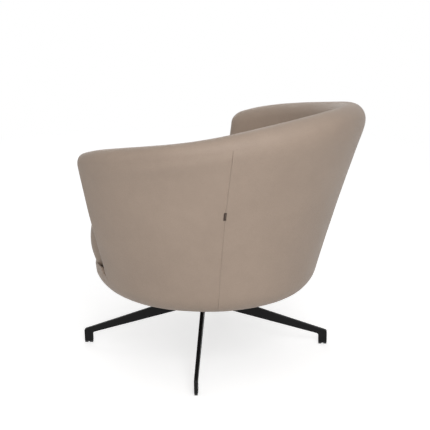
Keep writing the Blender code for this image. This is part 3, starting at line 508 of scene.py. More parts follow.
material, place = begin("birch_ply")
figure = use(wood_figure, {"Place": place})
upward = z_of(node(material.node_tree, "ShaderNodeNewGeometry").outputs["Normal"])
on_edge = ranged(maths("ABSOLUTE", upward), 0.75, 0.6)
ply = ranged(maths("PINGPONG", z_of(place), PLY), 0.4 * PLY, 0.6 * PLY)
plies = mixed(ply, rgb(0.60, 0.45, 0.28), rgb(0.36, 0.23, 0.12))
colour = mixed(on_edge, figure["Colour"], plies)
plywood = finish(material, colour, figure["Height"], 0.00006, figure["Roughness"])

material, place = begin("raw_beech")
values = {"Pale": rgb(0.56, 0.39, 0.25), "Dark": rgb(0.43, 0.27, 0.16), "Flecks": 0.6}
figure = use(wood_figure, {"Place": place} | values)
beech = finish(material, figure["Colour"], figure["Height"], 0.00005, figure["Roughness"])

# %% [markdown]
# ## Webbing, felt and dust cloth
# These lie inside and under the seat. Webbing is a plain weave of thick rubber-cored threads, so
# its height is two crossing rows of threads that take turns on top. Felt is a mat of fibres with no
# direction. The dust cloth is spun-bonded: fibres pressed together in a close grid of dimples.

# %% Woven and matted finishes
UNDER, FIBRE_STRETCH = 0.55, 0.25  # height of the thread below, and how long the fibres lie

crossed_threads, entry = new_group(
    "crossed_threads", {"Place": None, "Threads per Metre": 700.0}, ("Height", "Gap")
)
turned = stretched(entry["Place"], math.pi, math.pi, 0.0)
turned = vectors("SCALE", turned, Scale=entry["Threads per Metre"])
axes = node(crossed_threads, "ShaderNodeSeparateXYZ", {0: turned}).outputs
across, along = maths("SINE", axes["X"]), maths("SINE", axes["Y"])
turn_about = times(across, along)
threads_x = times(maths("ABSOLUTE", across), ranged(turn_about, -0.4, 0.4, UNDER, 1.0))
threads_y = times(maths("ABSOLUTE", along), ranged(turn_about, -0.4, 0.4, 1.0, UNDER))
height = maths("MAXIMUM", threads_x, threads_y)
gap = ranged(height, 0.35, 0.6, 1.0, 0.0)
node(crossed_threads, "NodeGroupOutput", {"Height": height, "Gap": gap})

matted_fibres, entry = new_group(
    "matted_fibres", {"Place": None, "Fibres per Metre": 1200.0}, ("Height", "Tone")
)
place, count = entry["Place"], entry["Fibres per Metre"]
one = noise(stretched(place, 1.0, FIBRE_STRETCH, 1.0), count, 2.0, 0.6)
other = noise(stretched(place, FIBRE_STRETCH, 1.0, 1.0), count, 2.0, 0.6)
tone = ranged(plus(one, other), 0.75, 1.25, -0.3, 0.3)
node(matted_fibres, "NodeGroupOutput", {"Height": maths("MAXIMUM", one, other), "Tone": tone})

material, place = begin("elastic_web")
threads = use(crossed_threads, {"Place": place, "Threads per Metre": 620.0})
# the gaps between the threads are painted dark: painted shade
colour = mixed(threads["Gap"], rgb(0.115, 0.10, 0.085), rgb(0.03, 0.026, 0.022))
rough = ranged(threads["Gap"], 0.0, 1.0, 0.75, 0.95)
webbing = finish(material, colour, threads["Height"], 0.0003, rough)

material, place = begin("needled_felt")
fibres = use(matted_fibres, {"Place": place, "Fibres per Metre": 900.0})
colour = darker((0.14, 0.13, 0.12), plus(1.0, fibres["Tone"]))
rough = ranged(fibres["Tone"], -0.3, 0.3, 0.98, 0.86)
felt = finish(material, colour, fibres["Height"], 0.0003, rough, sheen=0.2)

material, place = begin("spun_cloth")
fibres = use(matted_fibres, {"Place": place, "Fibres per Metre": 1500.0})
dimples = use(crossed_threads, {"Place": place, "Threads per Metre": 420.0})
colour = darker((0.018, 0.018, 0.019), plus(1.0, fibres["Tone"]))
height = plus(times(fibres["Height"], 0.4), times(dimples["Gap"], -0.6))
rough = ranged(dimples["Gap"], 0.0, 1.0, 0.88, 0.7)
spun_cloth = finish(material, colour, height, 0.00018, rough, sheen=0.1)

# %% [markdown]
# ## Thread and wire
# The thread is a twisted polyester cord. Its twist shows as slanting ridges along each stitch, and
# it is near the leather in tone. The staples are zinc-plated wire, so they share the bolts' finish.

# %% Thread
TWIST = {"Scale": 900.0, "Distortion": 1.5}

material, place = begin("sewing_thread")
twist = wave(place, TWIST, "DIAGONAL")
# the colour follows the twist's height: painted light on its ridges and painted shade between them
colour = mixed(twist, rgb(0.30, 0.245, 0.195), rgb(0.43, 0.36, 0.29))
thread = finish(material, colour, twist, 0.0001, ranged(twist, 0.0, 1.0, 0.7, 0.5), sheen=0.2)

# %% Finishes on the measured nodes
finish_of_slot = {
    "taupe_leather": outer_leather,
    "taupe_lining_leather": lining_leather,
    "black_powder_coat": powder_coat,
    "black_nylon": nylon,
    "zinc_plated_steel": zinc,
    "birch_plywood": plywood,
    "beech": beech,
    "elastic_webbing": webbing,
    "deck_felt": felt,
    "black_dust_cloth": spun_cloth,
    "dark_brown_leather": tab_leather,
}
subparts = frame["record"]["subparts"]
for row in subparts:
    for held in bpy.data.objects[row["node"]].material_slots:
        held.material = finish_of_slot[row["material_slot"]]
print("finished nodes:", len(subparts))

# %% [markdown]
# ## The form of the tub
# Every layer of the wall follows the same two ellipses, a low one and a high one, and the line
# between them. A point of the wall is named by its angle round the swivel axis (0 is the middle of
# the back, 90 the sitter's left arm, 180 the middle of the front), its height, and its depth below
# the outer face. The functions work on whole arrays, so a panel of ten thousand points is one call.

# %% Sizes of the tub
PLAN_RATIO = 0.933
LOW_Z, LOW_RADIUS, LOW_SHIFT = 0.25, 0.304, 0.0060
HIGH_Z, HIGH_RADIUS, HIGH_SHIFT = 0.69, 0.409, 0.0495
SHIFT_SAG = 0.0053
WALL, COVER, LINING_DEPTH = 0.062, 0.010, 0.0206
CROWN, CROWN_REACH, CROWN_FADE = 0.0253, 0.080, (25.0, 70.0)
RIM_ANGLES = (0.0, 45.0, 90.0, 120.0)
RIM_HEIGHTS = (0.6811, 0.6549, 0.6101, 0.5599)
ARM_TIP_ANGLE, ARM_SEAM_ANGLE, REAR_SEAM_ANGLE = 117.3, 110.5, 47.4
SPLAY, SPLAY_START, SPLAY_FADE, SPLAY_HEIGHTS = 0.0162, 75.0, (118.0, 141.0), (0.23, 0.58)
HIP, HIP_Z, HIP_HEIGHT = 0.0025, 0.37, 0.07  # the padding swells a little low on each arm
ROLL, TIP_CORNER, SEAM_CORNER = 0.031, (0.028, 0.0185), 0.012
BOTTOM_Z, BOWL_TOP_Z, BOWL_INSET, BOWL_PULL = 0.182, 0.2355, 0.071, 0.037
TURN_IN = 0.024
UNDER_COVER = 0.0017
APRON_TOP_Z = 0.2434
CUSHION_Z = 0.2437
GAP = 0.0003


# %% Points of the tub
def blend(start, end, share):
    return start + (end - start) * share


def smooth(value, start, end):
    """0 up to start, 1 from end on, and an even S between."""
    part = np.clip((value - start) / (end - start), 0.0, 1.0)
    return part * part * (3.0 - 2.0 * part)


def bell(distance, width):
    return np.exp(-((distance / width) ** 2))


def unit(arrows):
    return arrows / np.maximum(np.linalg.norm(arrows, axis=-1, keepdims=True), 1e-12)


def wall_radius(z):
    return blend(LOW_RADIUS, HIGH_RADIUS, (z - LOW_Z) / (HIGH_Z - LOW_Z))


def wall_shift(z):
    part = (z - LOW_Z) / (HIGH_Z - LOW_Z)
    return blend(LOW_SHIFT, HIGH_SHIFT, part) - 4.0 * SHIFT_SAG * part * (1.0 - part)


def rim_height(angle):
    """One even curve in the square of the angle through the four rim heights."""
    height = 0.0
    for here, value in zip(RIM_ANGLES, RIM_HEIGHTS):
        share = value
        for other in RIM_ANGLES:
            if other != here:
                share = share * (angle**2 - other**2) / (here**2 - other**2)
        height = height + share
    return height


def on_ellipse(angle, radius, shift, z):
    turn = np.radians(angle)
    x, y = np.sin(turn) * radius * PLAN_RATIO, np.cos(turn) * radius + shift + AXIS_Y
    return np.stack(np.broadcast_arrays(x, y, z), axis=-1)


def arm_splay(angle, z):
    """Sideways step from the ellipse, which carries the arms out at their fronts."""
    around = np.minimum(np.abs(angle), 360.0 - np.abs(angle))
    share = smooth(around, SPLAY_START, ARM_TIP_ANGLE) * (1.0 - smooth(around, *SPLAY_FADE))
    step = SPLAY * smooth(z, *SPLAY_HEIGHTS) + HIP * bell(z - HIP_Z, HIP_HEIGHT)
    return np.sign(np.sin(np.radians(angle))) * step * share


def wall_point(angle, z, depth):
    near = np.clip(1.0 - (rim_height(angle) - z) / CROWN_REACH, 0.0, None)
    share = (1.0 - smooth(np.abs(angle), *CROWN_FADE)) * (np.abs(angle) <= ARM_TIP_ANGLE)
    lean = CROWN * share * near**2
    place = on_ellipse(angle, wall_radius(z) - lean - depth, wall_shift(z), z)
    place[..., 0] += arm_splay(angle, z)
    return place


FOOT_REACH, FOOT_SHIFT = wall_radius(BOWL_TOP_Z) - BOWL_INSET, wall_shift(BOWL_TOP_Z)


def bowl_point(angle, part, depth, lift):
    """The turned bottom corner, from the wall (part 0) to the underside (part 1)."""
    start = wall_point(angle, BOWL_TOP_Z, depth)
    slope = unit(start - wall_point(angle, BOWL_TOP_Z + 0.01, depth))
    end = on_ellipse(angle, FOOT_REACH, FOOT_SHIFT, BOTTOM_Z + lift)
    outward = unit(on_ellipse(angle, 1.0, -AXIS_Y, 0.0))
    pull = BOWL_PULL - 0.5 * depth
    rest = 1.0 - part
    curve = start * rest**3 + (start + slope * pull) * (3.0 * rest**2 * part)
    return curve + (end + outward * pull) * (3.0 * rest * part**2) + end * part**3


SEAM_CORNER_ANGLE = math.degrees(SEAM_CORNER / wall_radius(RIM_HEIGHTS[-1] - ROLL))
SEAM_END = ARM_SEAM_ANGLE - SEAM_CORNER_ANGLE


def seam_height(angle):
    """The seam under the rolled rim, rounded down to the arm seam."""
    past = np.clip((np.abs(angle) - SEAM_END) / SEAM_CORNER_ANGLE, 0.0, 1.0)
    return rim_height(angle) - ROLL - SEAM_CORNER * (1.0 - np.sqrt(1.0 - past**2))


print("rim at the back, quarter, side:", [round(float(rim_height(a)), 4) for a in (0, 45, 90)])

# %% [markdown]
# ## Meshes from arrays
# A panel is a grid of points with a second grid behind it, closed round its border. Next to a seam
# the points stand close together, so that the leather can turn down into the seam in a small round
# of its own; in the middle of a panel they stand wide.

# %% Helpers for meshes
HARD_EDGE = 55.0  # degrees
FINE = np.array((0.0, 0.0005, 0.0012, 0.0021, 0.0033, 0.005, 0.0075, 0.011, 0.016))
TUB_MIDDLE = np.array((0.0, AXIS_Y, 0.42))


def link_piece(name, points, faces, material):
    """A piece from points and faces, turned outward, shaded smooth but not over its hard edges."""
    mesh = bpy.data.meshes.new(name)
    mesh.from_pydata(np.asarray(points).tolist(), [], faces)
    shape = bmesh.new()
    shape.from_mesh(mesh)
    bmesh.ops.recalc_face_normals(shape, faces=shape.faces[:])
    shape.to_mesh(mesh)
    shape.free()
    mesh.shade_smooth()
    mesh.set_sharp_from_angle(angle=math.radians(HARD_EDGE))
    mesh.materials.append(material)
    return add_object(name, mesh)


def settle(piece, body, slot, *stands_for):
    """Says which body a piece rides on and which nodes it stands for. The slot is not used."""
    if stands_for:
        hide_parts(*stands_for)
    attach(piece, body)
    print(piece.name, len(piece.data.polygons), "faces")


def numbered(grid, start=0):
    """The numbers of a grid's points, row by row."""
    return np.arange(start, start + grid.shape[0] * grid.shape[1]).reshape(grid.shape[:2])


def closed(rows):
    return np.concatenate((rows, rows[:, :1]), axis=1)


def quads(*rows):
    """Faces between the neighbours of a grid of point numbers, or of several single rows."""
    rows = rows[0] if len(rows) == 1 else np.stack(rows)
    corners = np.stack((rows[:-1, :-1], rows[1:, :-1], rows[1:, 1:], rows[:-1, 1:]), axis=-1)
    return corners.reshape(-1, 4).tolist()


def joined(*grids):
    return np.concatenate([grid.reshape(-1, 3) for grid in grids])


def slab(name, outer, inner, material):
    """A closed piece between two grids of points of the same size."""
    front = numbered(outer)
    back = front + front.size
    faces = quads(front) + quads(back)
    for edge in ((0, slice(None)), (-1, slice(None)), (slice(None), 0), (slice(None), -1)):
        faces += quads(front[edge], back[edge])
    return link_piece(name, joined(outer, inner), faces, material)


def stations(length, step):
    """Distances from 0 to length: close together by both ends and step apart between."""
    middle = np.linspace(FINE[-1], length - FINE[-1], max(int(length / step), 3))
    return np.concatenate((FINE[:-1], middle, (length - FINE[:-1])[::-1]))


def outward_of(grid):
    """Unit normals of a grid of points, pointing away from the middle of the tub."""
    normal = unit(np.cross(np.gradient(grid, axis=0), np.gradient(grid, axis=1)))
    return normal if ((grid - TUB_MIDDLE) * normal).sum() >= 0.0 else -normal


def turned_down(distance, depth, width=0.0015):
    """How far leather rounds down into a seam at a distance from it."""
    part = 1.0 - np.clip(distance / width, 0.0, 1.0)
    return depth * (1.0 - np.sqrt(1.0 - part**2))


def swell(points):
    """The slight unevenness of leather pulled over foam. Its waves are unlike each other in
    length and direction, so that they never meet in a pattern."""
    x, y, z = (points[..., i] for i in range(3))
    broad = np.sin(31.0 * x + 17.0 * z + 0.7) * np.cos(23.0 * y - 11.0 * z)
    short = np.sin(67.0 * x - 41.0 * y + 2.1) * np.sin(53.0 * z + 29.0 * y)
    return 0.00035 * broad + 0.00016 * short


def folds(points, strength):
    """Long shallow folds, which leather takes where it turns a corner over soft foam."""
    x, y, z = (points[..., i] for i in range(3))
    bend = 1.3 * np.sin(13.0 * x + 4.0) + 1.1 * np.sin(17.0 * y - 9.0 * z)
    first = np.sin(48.0 * z + 21.0 * np.abs(x) + 1.7 * bend)
    second = np.sin(95.0 * np.abs(x) - 61.0 * y + 30.0 * z + 2.3 * bend)
    return strength * (0.7 * first + 0.3 * second * (0.5 + 0.5 * np.sin(11.0 * x - 7.0 * z)))


# %% [markdown]
# ## Outer leather
# Four panels cover the outside: one across the back, one on each side and a low apron in front. On
# the real chair each is cut flat, sewn to the next and pulled down under the seat, where staples
# hold it. The seams are not piped: two folded edges meet and sink a little, and the leather rises
# as a soft ridge along the seam under the rolled rim. A texture could draw that, but the seams
# catch light on the outline too, so the edges are turned down in the mesh.

# %% Outer panels
PANEL_STEP, WALL_ROWS, APRON_ROWS = 0.006, 72, 4
TURN_IN_ROWS, BOWL_ROWS = 5, 26
SEAM_DEPTH, ARM_SEAM_DEPTH = 0.0006, 0.0002
APRON_ROUND = 0.0035
APRON_LEAN, APRON_LEAN_DROP, LEAN_BESIDE = 0.0035, 0.030, (0.004, 0.06)
APRON_SWEEP, SWEEP_ANGLES = 0.014, (116.4, 118.4, 120.5, 141.0)
RIDGE = 0.0026
RIDGE_AT = (-0.011, -0.020)    # from the top seam, at the back and at the sides
RIDGE_WIDTH = (0.0135, 0.020)  # above and below it
RIDGE_TURN = (30.0, 62.0)      # degrees over which it goes from the one place to the other
# Its share at the back, and what quarter, arm and seam change, from one angle to another.
RIDGE_START, RIDGE_GAINS = 0.3, ((0.5, 6.0, 32.0), (0.35, 45.0, 75.0), (-0.75, 82.0, 100.0))
SEAM_LAP, LAP_WIDTH = 0.0007, 0.003   # the back's folded edge, just under the rim
LAP_AT, LAP_LENGTH = 0.008, 0.012
PUCKER, PUCKER_PITCH = 0.00022, 0.0125
PUCKER_FROM, PUCKER_FADE = (0.0008, 0.004), 0.007
SEAM_REACH = 15.0  # degrees round a rear seam in which a panel's end belongs to it


def panel_rows(angles, top, depth, lift, wall_rows):
    """Points up a panel: turned-in edge, bottom corner, wall. Also their distance from the top."""
    rows = [
        on_ellipse(angles, FOOT_REACH - TURN_IN * (1.0 - share), FOOT_SHIFT, BOTTOM_Z + lift)
        for share in np.linspace(0, 1, TURN_IN_ROWS)
    ]
    rows += [bowl_point(angles, part, depth, lift) for part in np.linspace(1, 0, BOWL_ROWS)[1:]]
    below = [np.ones_like(angles)] * len(rows)
    closer = np.minimum(1.0, 0.75 * (top - BOWL_TOP_Z) / FINE[-1])  # a low panel has less room
    for share in np.linspace(0, 1, wall_rows)[1:]:
        z = blend(BOWL_TOP_Z, top - FINE[-1] * closer, share)
        rows.append(wall_point(angles, z, depth))
        below.append(top - z)
    for distance in FINE[-2::-1]:
        rows.append(wall_point(angles, top - distance * closer, depth))
        below.append(distance * closer)
    return np.stack(rows, axis=1), np.stack(below, axis=1)


def ridge_height(above, angle):
    """The soft ridge along the top seam: above is the distance over the seam, negative below."""
    around = np.abs(angle)
    crest = blend(*RIDGE_AT, smooth(around, *RIDGE_TURN))
    width = np.where(above > crest, *RIDGE_WIDTH)
    by_quarter, by_arm, at_seam = (gain * smooth(around, *span) for gain, *span in RIDGE_GAINS)
    strength = (RIDGE_START + by_quarter + by_arm) * RIDGE * (1.0 + at_seam)
    return strength * bell(above - crest, width)


def outer_panel(name, start, end, top_at, wall_rows):
    reach = 0.5 * (LOW_RADIUS + HIGH_RADIUS)
    length = math.radians(end - start) * reach
    run = stations(length, PANEL_STEP)
    trim = math.degrees(0.5 * GAP / LOW_RADIUS)
    angles = np.clip(start + np.degrees(run / reach), start + trim, end - trim)
    top = top_at(angles)
    outer, below = panel_rows(angles, top, 0.0, 0.0, wall_rows)
    inner, _ = panel_rows(angles, top, COVER, UNDER_COVER, wall_rows)
    beside = np.minimum(run, length - run)[:, None] * np.ones_like(below)
    by_rear_seam = np.abs(np.abs(angles) - REAR_SEAM_ANGLE) < SEAM_REACH
    height = outer[..., 2]
    push = swell(outer)
    push -= turned_down(beside, np.where(by_rear_seam, SEAM_DEPTH, ARM_SEAM_DEPTH)[:, None])
    if top_at is seam_height:
        push += ridge_height(-below, angles[:, None])
    else:
        lean = 1.0 - smooth(top[:, None] - height, 0.0, APRON_LEAN_DROP)
        push -= turned_down(below, APRON_ROUND, APRON_ROUND)
        push -= APRON_LEAN * lean * smooth(beside, *LEAN_BESIDE)
    puckers = np.cos(2.0 * math.pi * height / PUCKER_PITCH + 2.0 * np.sin(37.0 * height))
    push += PUCKER * puckers * np.exp(-beside / PUCKER_FADE) * smooth(beside, *PUCKER_FROM)
    if name == "back_leather":
        push += SEAM_LAP * bell(beside, LAP_WIDTH) * bell(below - LAP_AT, LAP_LENGTH)
    outer = outer + outward_of(outer) * push[..., None]
    return slab(name, outer, inner, outer_leather)


def apron_top(angle):
    """The apron's top edge, which sweeps up a little into the corner in front of each arm."""
    around = np.minimum(angle, 360.0 - angle)
    sweep = APRON_SWEEP * smooth(around, *SWEEP_ANGLES[:2])
    return APRON_TOP_Z + sweep * (1.0 - smooth(around, *SWEEP_ANGLES[2:]))


PANELS = {
    "back": (-REAR_SEAM_ANGLE, REAR_SEAM_ANGLE, seam_height, WALL_ROWS),
    "left": (REAR_SEAM_ANGLE, ARM_SEAM_ANGLE, seam_height, WALL_ROWS),
    "right": (-ARM_SEAM_ANGLE, -REAR_SEAM_ANGLE, seam_height, WALL_ROWS),
    "apron": (ARM_SEAM_ANGLE, 360.0 - ARM_SEAM_ANGLE, apron_top, APRON_ROWS),
}
for name, sizes in PANELS.items():
    panel = outer_panel(name + "_leather", *sizes)
    settle(panel, "seat", "taupe_leather", "front_apron" if name == "apron" else name + "_panel")

# %% [markdown]
# ## Facing in front of the cushion
# The apron rolls over the front of the seat frame and meets a leather facing, which runs back under
# the cushion, so that no felt shows beside it. It is a flat band that lies on the deck.

# %% Facing
FACING = (0.0088, 0.060)  # from the outer face of the wall, where it starts and ends
FACING_THICK, FACING_LIFT, FACING_TRIM = 0.0005, 0.00005, 0.4
FACING_ROUND, FACING_COLUMNS, FACING_ROWS = (0.0003, 0.003), 160, 10

facing_start = ARM_SEAM_ANGLE + FACING_TRIM
facing_angles = np.linspace(facing_start, 360.0 - facing_start, FACING_COLUMNS)
depths = np.linspace(FACING[0] + FINE[-1], FACING[1], FACING_ROWS)[1:]
depths = np.concatenate((FACING[0] + FINE, depths))
reach = wall_radius(APRON_TOP_Z) - depths[None]
top = APRON_TOP_Z + FACING_LIFT + FACING_THICK
rounded = turned_down(depths - FACING[0], *FACING_ROUND)
upper, lower = (
    on_ellipse(facing_angles[:, None], reach, wall_shift(APRON_TOP_Z), z)
    for z in (top - rounded[None], top - FACING_THICK)
)
settle(slab("facing_leather", upper, lower, outer_leather), "seat", "taupe_leather")

# %% [markdown]
# ## Inner leather and rolled rim
# Inside, one upholstered pad lines the tub, wraps over the rim and comes down outside to the seam.
# It does the same round the front of each arm. So it is built as one closed piece: a half-round
# swept along the edge, joined without a seam to the lining inside. Sweeping a circle along a curve
# would be quicker, but the half-round changes its width and tilt on the way, so each of its
# stations is worked out from the seam it starts at and the crest it goes over.

# %% Stations round the rim
COLUMN_STEP, LINING_ROWS, ROLL_ROWS, CORNER_STEPS = 0.0048, 54, 22, 9
TIP_ANGLE = ARM_TIP_ANGLE - 0.3  # the leather lies a little behind the measured tip
TIP_REACH = math.degrees(TIP_CORNER[0] / wall_radius(RIM_HEIGHTS[-1]))
RIM_END = TIP_ANGLE - TIP_REACH
FOOT_Z = CUSHION_Z + GAP


def both_sides(half, sign=1.0):
    """Values from the middle of the back to the left arm, with the right side before them."""
    return np.concatenate((sign * half[:0:-1], half))


def round_the_arms(arm, angles, heights):
    """A line of (angle, height): up the right arm's front, along the rim, down the left arm's."""
    along = np.stack((angles, heights), axis=-1)
    return np.concatenate((arm * (-1.0, 1.0), along, arm[::-1]))


half = np.linspace(0.0, SEAM_END, int(math.radians(SEAM_END) * HIGH_RADIUS / COLUMN_STEP))
corner = np.radians(np.linspace(0.0, 90.0, CORNER_STEPS)[1:])
crest_half = np.concatenate((half * RIM_END / SEAM_END, RIM_END + TIP_REACH * np.sin(corner)))
crest_z = rim_height(crest_half)
crest_z[-len(corner) :] -= TIP_CORNER[1] * (1.0 - np.cos(corner))
columns = both_sides(np.concatenate((half, SEAM_END + SEAM_CORNER_ANGLE * np.sin(corner))), -1.0)
seam_tops = seam_height(columns)
shares = np.linspace(0.0, 1.0, LINING_ROWS + 1)
lining_z = FOOT_Z + shares[None, :] * (seam_tops - FOOT_Z)[:, None]

arm_angle = np.full(LINING_ROWS, ARM_SEAM_ANGLE)
arm_seam = np.stack((arm_angle, lining_z[-1, :-1]), axis=-1)
arm_crest_z = FOOT_Z + shares[:-1] * (crest_z[-1] - FOOT_Z)
arm_crest = np.stack((np.full(LINING_ROWS, TIP_ANGLE), arm_crest_z), axis=-1)
seam_line = round_the_arms(arm_seam, columns, seam_tops)
crest_line = round_the_arms(arm_crest, both_sides(crest_half, -1.0), both_sides(crest_z))
print("stations round the rim:", len(crest_line))

# %% Inner cover
LINING_FOLDS, FOLDS_BELOW = 0.0006, (0.06, 0.16)  # the folds start this far below the rim

roll_radius = 0.5 * WALL
turns = np.linspace(FINE[-1], roll_radius * math.pi, ROLL_ROWS)
turns = np.concatenate((FINE[:-1], turns)) / roll_radius
bulge = np.sin(turns)[None, :]
roll_angle = blend(seam_line[:, :1], crest_line[:, :1], bulge)
roll_z = blend(seam_line[:, 1:], crest_line[:, 1:], bulge)
roll = wall_point(roll_angle, roll_z, roll_radius * (1.0 - np.cos(turns))[None, :])
lining, behind = (wall_point(columns[:, None], lining_z, depth) for depth in (WALL, LINING_DEPTH))

push = swell(roll)
on_rim = slice(LINING_ROWS, len(roll) - LINING_ROWS)
push[on_rim] += ridge_height(turns[None, :] * roll_radius, columns[:, None])
roll = roll + outward_of(roll) * push[..., None]
below_rim = rim_height(np.abs(columns))[:, None] - lining[..., 2]
push = swell(lining) + folds(lining, LINING_FOLDS * smooth(below_rim, *FOLDS_BELOW))
lining = lining - outward_of(lining) * push[..., None]
lining[0, :-1] = roll[:LINING_ROWS, -1]
lining[:, -1] = roll[on_rim, -1]
lining[-1, :-1] = roll[: -LINING_ROWS - 1 : -1, -1]


def edge_of(ids):
    """A grid's border without its foot: up the first column, over the top, down the last."""
    return np.concatenate((ids[0, :-1], ids[:, -1], ids[-1, -2::-1]))


roll_ids = numbered(roll[:, :-1])
lining_ids = numbered(lining, roll_ids.size)
behind_ids = lining_ids + lining_ids.size
edge_ids, back_edge = edge_of(lining_ids), edge_of(behind_ids)
faces = quads(np.column_stack((roll_ids, edge_ids))) + quads(lining_ids) + quads(behind_ids)
faces += quads(roll_ids[:, 0], back_edge) + quads(lining_ids[:, 0], behind_ids[:, 0])
for end in (0, -1):
    faces.append([*roll_ids[end].tolist(), int(edge_ids[end]), int(back_edge[end])])
inner_cover = link_piece("inner_cover", joined(roll[:, :-1], lining, behind), faces, outer_leather)
lined = ("rim_roll", "inner_back", "inner_left", "inner_right")
settle(inner_cover, "seat", "taupe_leather", *lined)

# %% [markdown]
# ## Seat cushion
# The loose cushion is a foam block in a boxed leather cover: a round top panel, a band round the
# side and a bottom panel, sewn together along two rings. Its top is crowned and its band bellies
# between the seams. It could be sculpted, but cloth pressed out by the foam finds that shape by
# itself. So a slightly small cushion is laid out with its two seam rings as rows of the mesh, the
# rings are held, and a short cloth simulation under pressure fills the panels between them.

# %% Cushion outline
CUSHION_REACH, CUSHION_WIDEST_Z, CUSHION_SIDE = 0.3075, 0.305, (3.6, 1.8)
CUSHION_EDGE_Z, CUSHION_ROUND, CUSHION_TOP_Z = 0.384, (0.034, 0.026), 0.434
CUSHION_BLEND, CUSHION_SWELL, SOFT_GAP = (113.5, 131.0), 1.2, 0.0015


def cushion_edge(angle, z, wider=0.0):
    """Radius and centre of the cushion's outline: the lining's inside, then the round front."""
    back = wall_radius(z) - WALL - SOFT_GAP
    steep = np.where(z > CUSHION_WIDEST_Z, CUSHION_SIDE[1], CUSHION_SIDE[0])
    front = CUSHION_REACH + wider - steep * (z - CUSHION_WIDEST_Z) ** 2
    angle = np.abs((angle + 180.0) % 360.0 - 180.0)
    share = smooth(angle, *CUSHION_BLEND)
    return blend(back, front, share), blend(wall_shift(z), LOW_SHIFT, share)


def crown_height(inset, radius):
    """Height of the top at a distance in from the widest outline."""
    run, rise = CUSHION_ROUND
    turn = CUSHION_EDGE_Z + rise * np.sqrt(1.0 - np.clip(1.0 - inset / run, 0.0, 1.0) ** 2)
    share = np.clip((radius - inset) / (radius - run), 0.0, 1.0)
    top = CUSHION_TOP_Z - CUSHION_EDGE_Z - rise
    return turn + top * np.cos(0.5 * math.pi * share) ** CUSHION_SWELL * (inset > run)


# %% Cushion layout
PATCH_FACES = 46         # along each side of the square patch in the middle of a panel
PATCH = 0.5              # half width of the patch as a share of the panel's
PATCH_SQUARE, PATCH_ROUND = 0.78, 0.6  # the patch lies between a square of this size and a disc
RINGS, BAND_ROWS = 15, 14              # rows of faces between patch and seam, and between seams
SEAM_INSET, SEAM_Z = 0.007, 0.4005
LOW_INSET, LOW_Z_SEAM = 0.0006, 0.2484
BELLY, BAND_SINK, BASE_LIFT = 0.0075, 0.002, 0.0008

line = np.linspace(-1.0, 1.0, PATCH_FACES + 1)
u, v = np.meshgrid(line, line, indexing="ij")
round_u, round_v = u * np.sqrt(1.0 - 0.5 * v**2), v * np.sqrt(1.0 - 0.5 * u**2)
patch = PATCH * np.stack(
    [blend(PATCH_SQUARE * w, w_round, PATCH_ROUND) for w, w_round in ((u, round_u), (v, round_v))],
    axis=-1,
)
patch_ids = numbered(patch)
border_ids = np.concatenate(
    (patch_ids[:-1, 0], patch_ids[-1, :-1], patch_ids[:0:-1, -1], patch_ids[0, :0:-1])
)
patch = patch.reshape(-1, 2)
start = patch[border_ids]
rim_turn = np.arctan2(start[:, 0], start[:, 1])
rim_flat = np.stack((np.sin(rim_turn), np.cos(rim_turn)), axis=-1)
ring_flats = blend(start[None], rim_flat[None], np.linspace(0.0, 1.0, RINGS + 1)[1:, None, None])
disc = np.concatenate((patch, ring_flats.reshape(-1, 2)))


def on_cushion(edge_z, inset, height_at):
    """Lays the disc on the cushion as a top or bottom panel, its rim inset from the outline."""
    share = np.linalg.norm(disc, axis=-1)
    angle = np.degrees(np.arctan2(disc[..., 0], disc[..., 1]))
    radius, shift = cushion_edge(angle, np.full_like(angle, edge_z))
    reach = share * (radius - inset)
    place = on_ellipse(angle, reach, blend(LOW_SHIFT, shift, share), 0.0)
    place[..., 0] += arm_splay(angle, edge_z) * share
    place[..., 2] = height_at(radius - reach, radius)
    return place


def flat_base(inset, radius):
    return np.where(inset > LOW_INSET + 0.001, CUSHION_Z + BASE_LIFT, LOW_Z_SEAM)


def band_ring(share):
    """A ring of the band, from the top seam (0) to the low one (1)."""
    angles = np.degrees(rim_turn)
    z = blend(SEAM_Z, LOW_Z_SEAM, share)
    inset = blend(SEAM_INSET, LOW_INSET, share) - BELLY * math.sin(math.pi * share)
    edge_z = min(z, CUSHION_EDGE_Z)
    radius, shift = cushion_edge(angles, np.full_like(angles, edge_z))
    ring = on_ellipse(angles, radius - inset - BAND_SINK, shift, z)
    ring[..., 0] += arm_splay(angles, edge_z)
    return ring


top_points = on_cushion(CUSHION_EDGE_Z, SEAM_INSET, crown_height)
low_points = on_cushion(LOW_Z_SEAM, LOW_INSET, flat_base)
band = np.stack([band_ring(share) for share in np.linspace(0.0, 1.0, BAND_ROWS + 1)[1:-1]])
per_panel = len(disc)
ring_ids = numbered(ring_flats, len(patch))
panel_ids = np.concatenate((border_ids[None], ring_ids))
cap_faces = np.array(quads(patch_ids) + quads(closed(panel_ids)))
band_ids = numbered(band, 2 * per_panel)
top_rim, low_rim = ring_ids[-1], ring_ids[-1] + per_panel
band_faces = quads(closed(np.concatenate((top_rim[None], band_ids, low_rim[None]))))
points = joined(top_points, low_points, band)
faces = cap_faces.tolist() + (cap_faces + per_panel).tolist() + band_faces
cushion = link_piece("seat_cushion_leather", points, faces, seat_leather)
print("cushion:", len(points), "points,", len(faces), "faces")

# %% Fill the cushion
PRESSURE, MOST_SWELL, LAST_FRAME = 4.0, 0.024, 20
FOAM_COVER = {
    "quality": 6,
    "mass": 0.3,
    "tension_stiffness": 20.0,
    "compression_stiffness": 12.0,
    "shear_stiffness": 8.0,
    "bending_stiffness": 0.8,
    "use_pressure": True,
    "uniform_pressure_force": PRESSURE,
}
KEPT_WIDER, KEPT_GAP = 0.002, 0.0005  # how far the swollen cushion may pass its outline


def evaluated(piece):
    return piece.evaluated_get(bpy.context.evaluated_depsgraph_get())


def read_vectors(items, key):
    values = np.empty(len(items) * 3)
    items.foreach_get(key, values)
    return values.reshape(-1, 3)


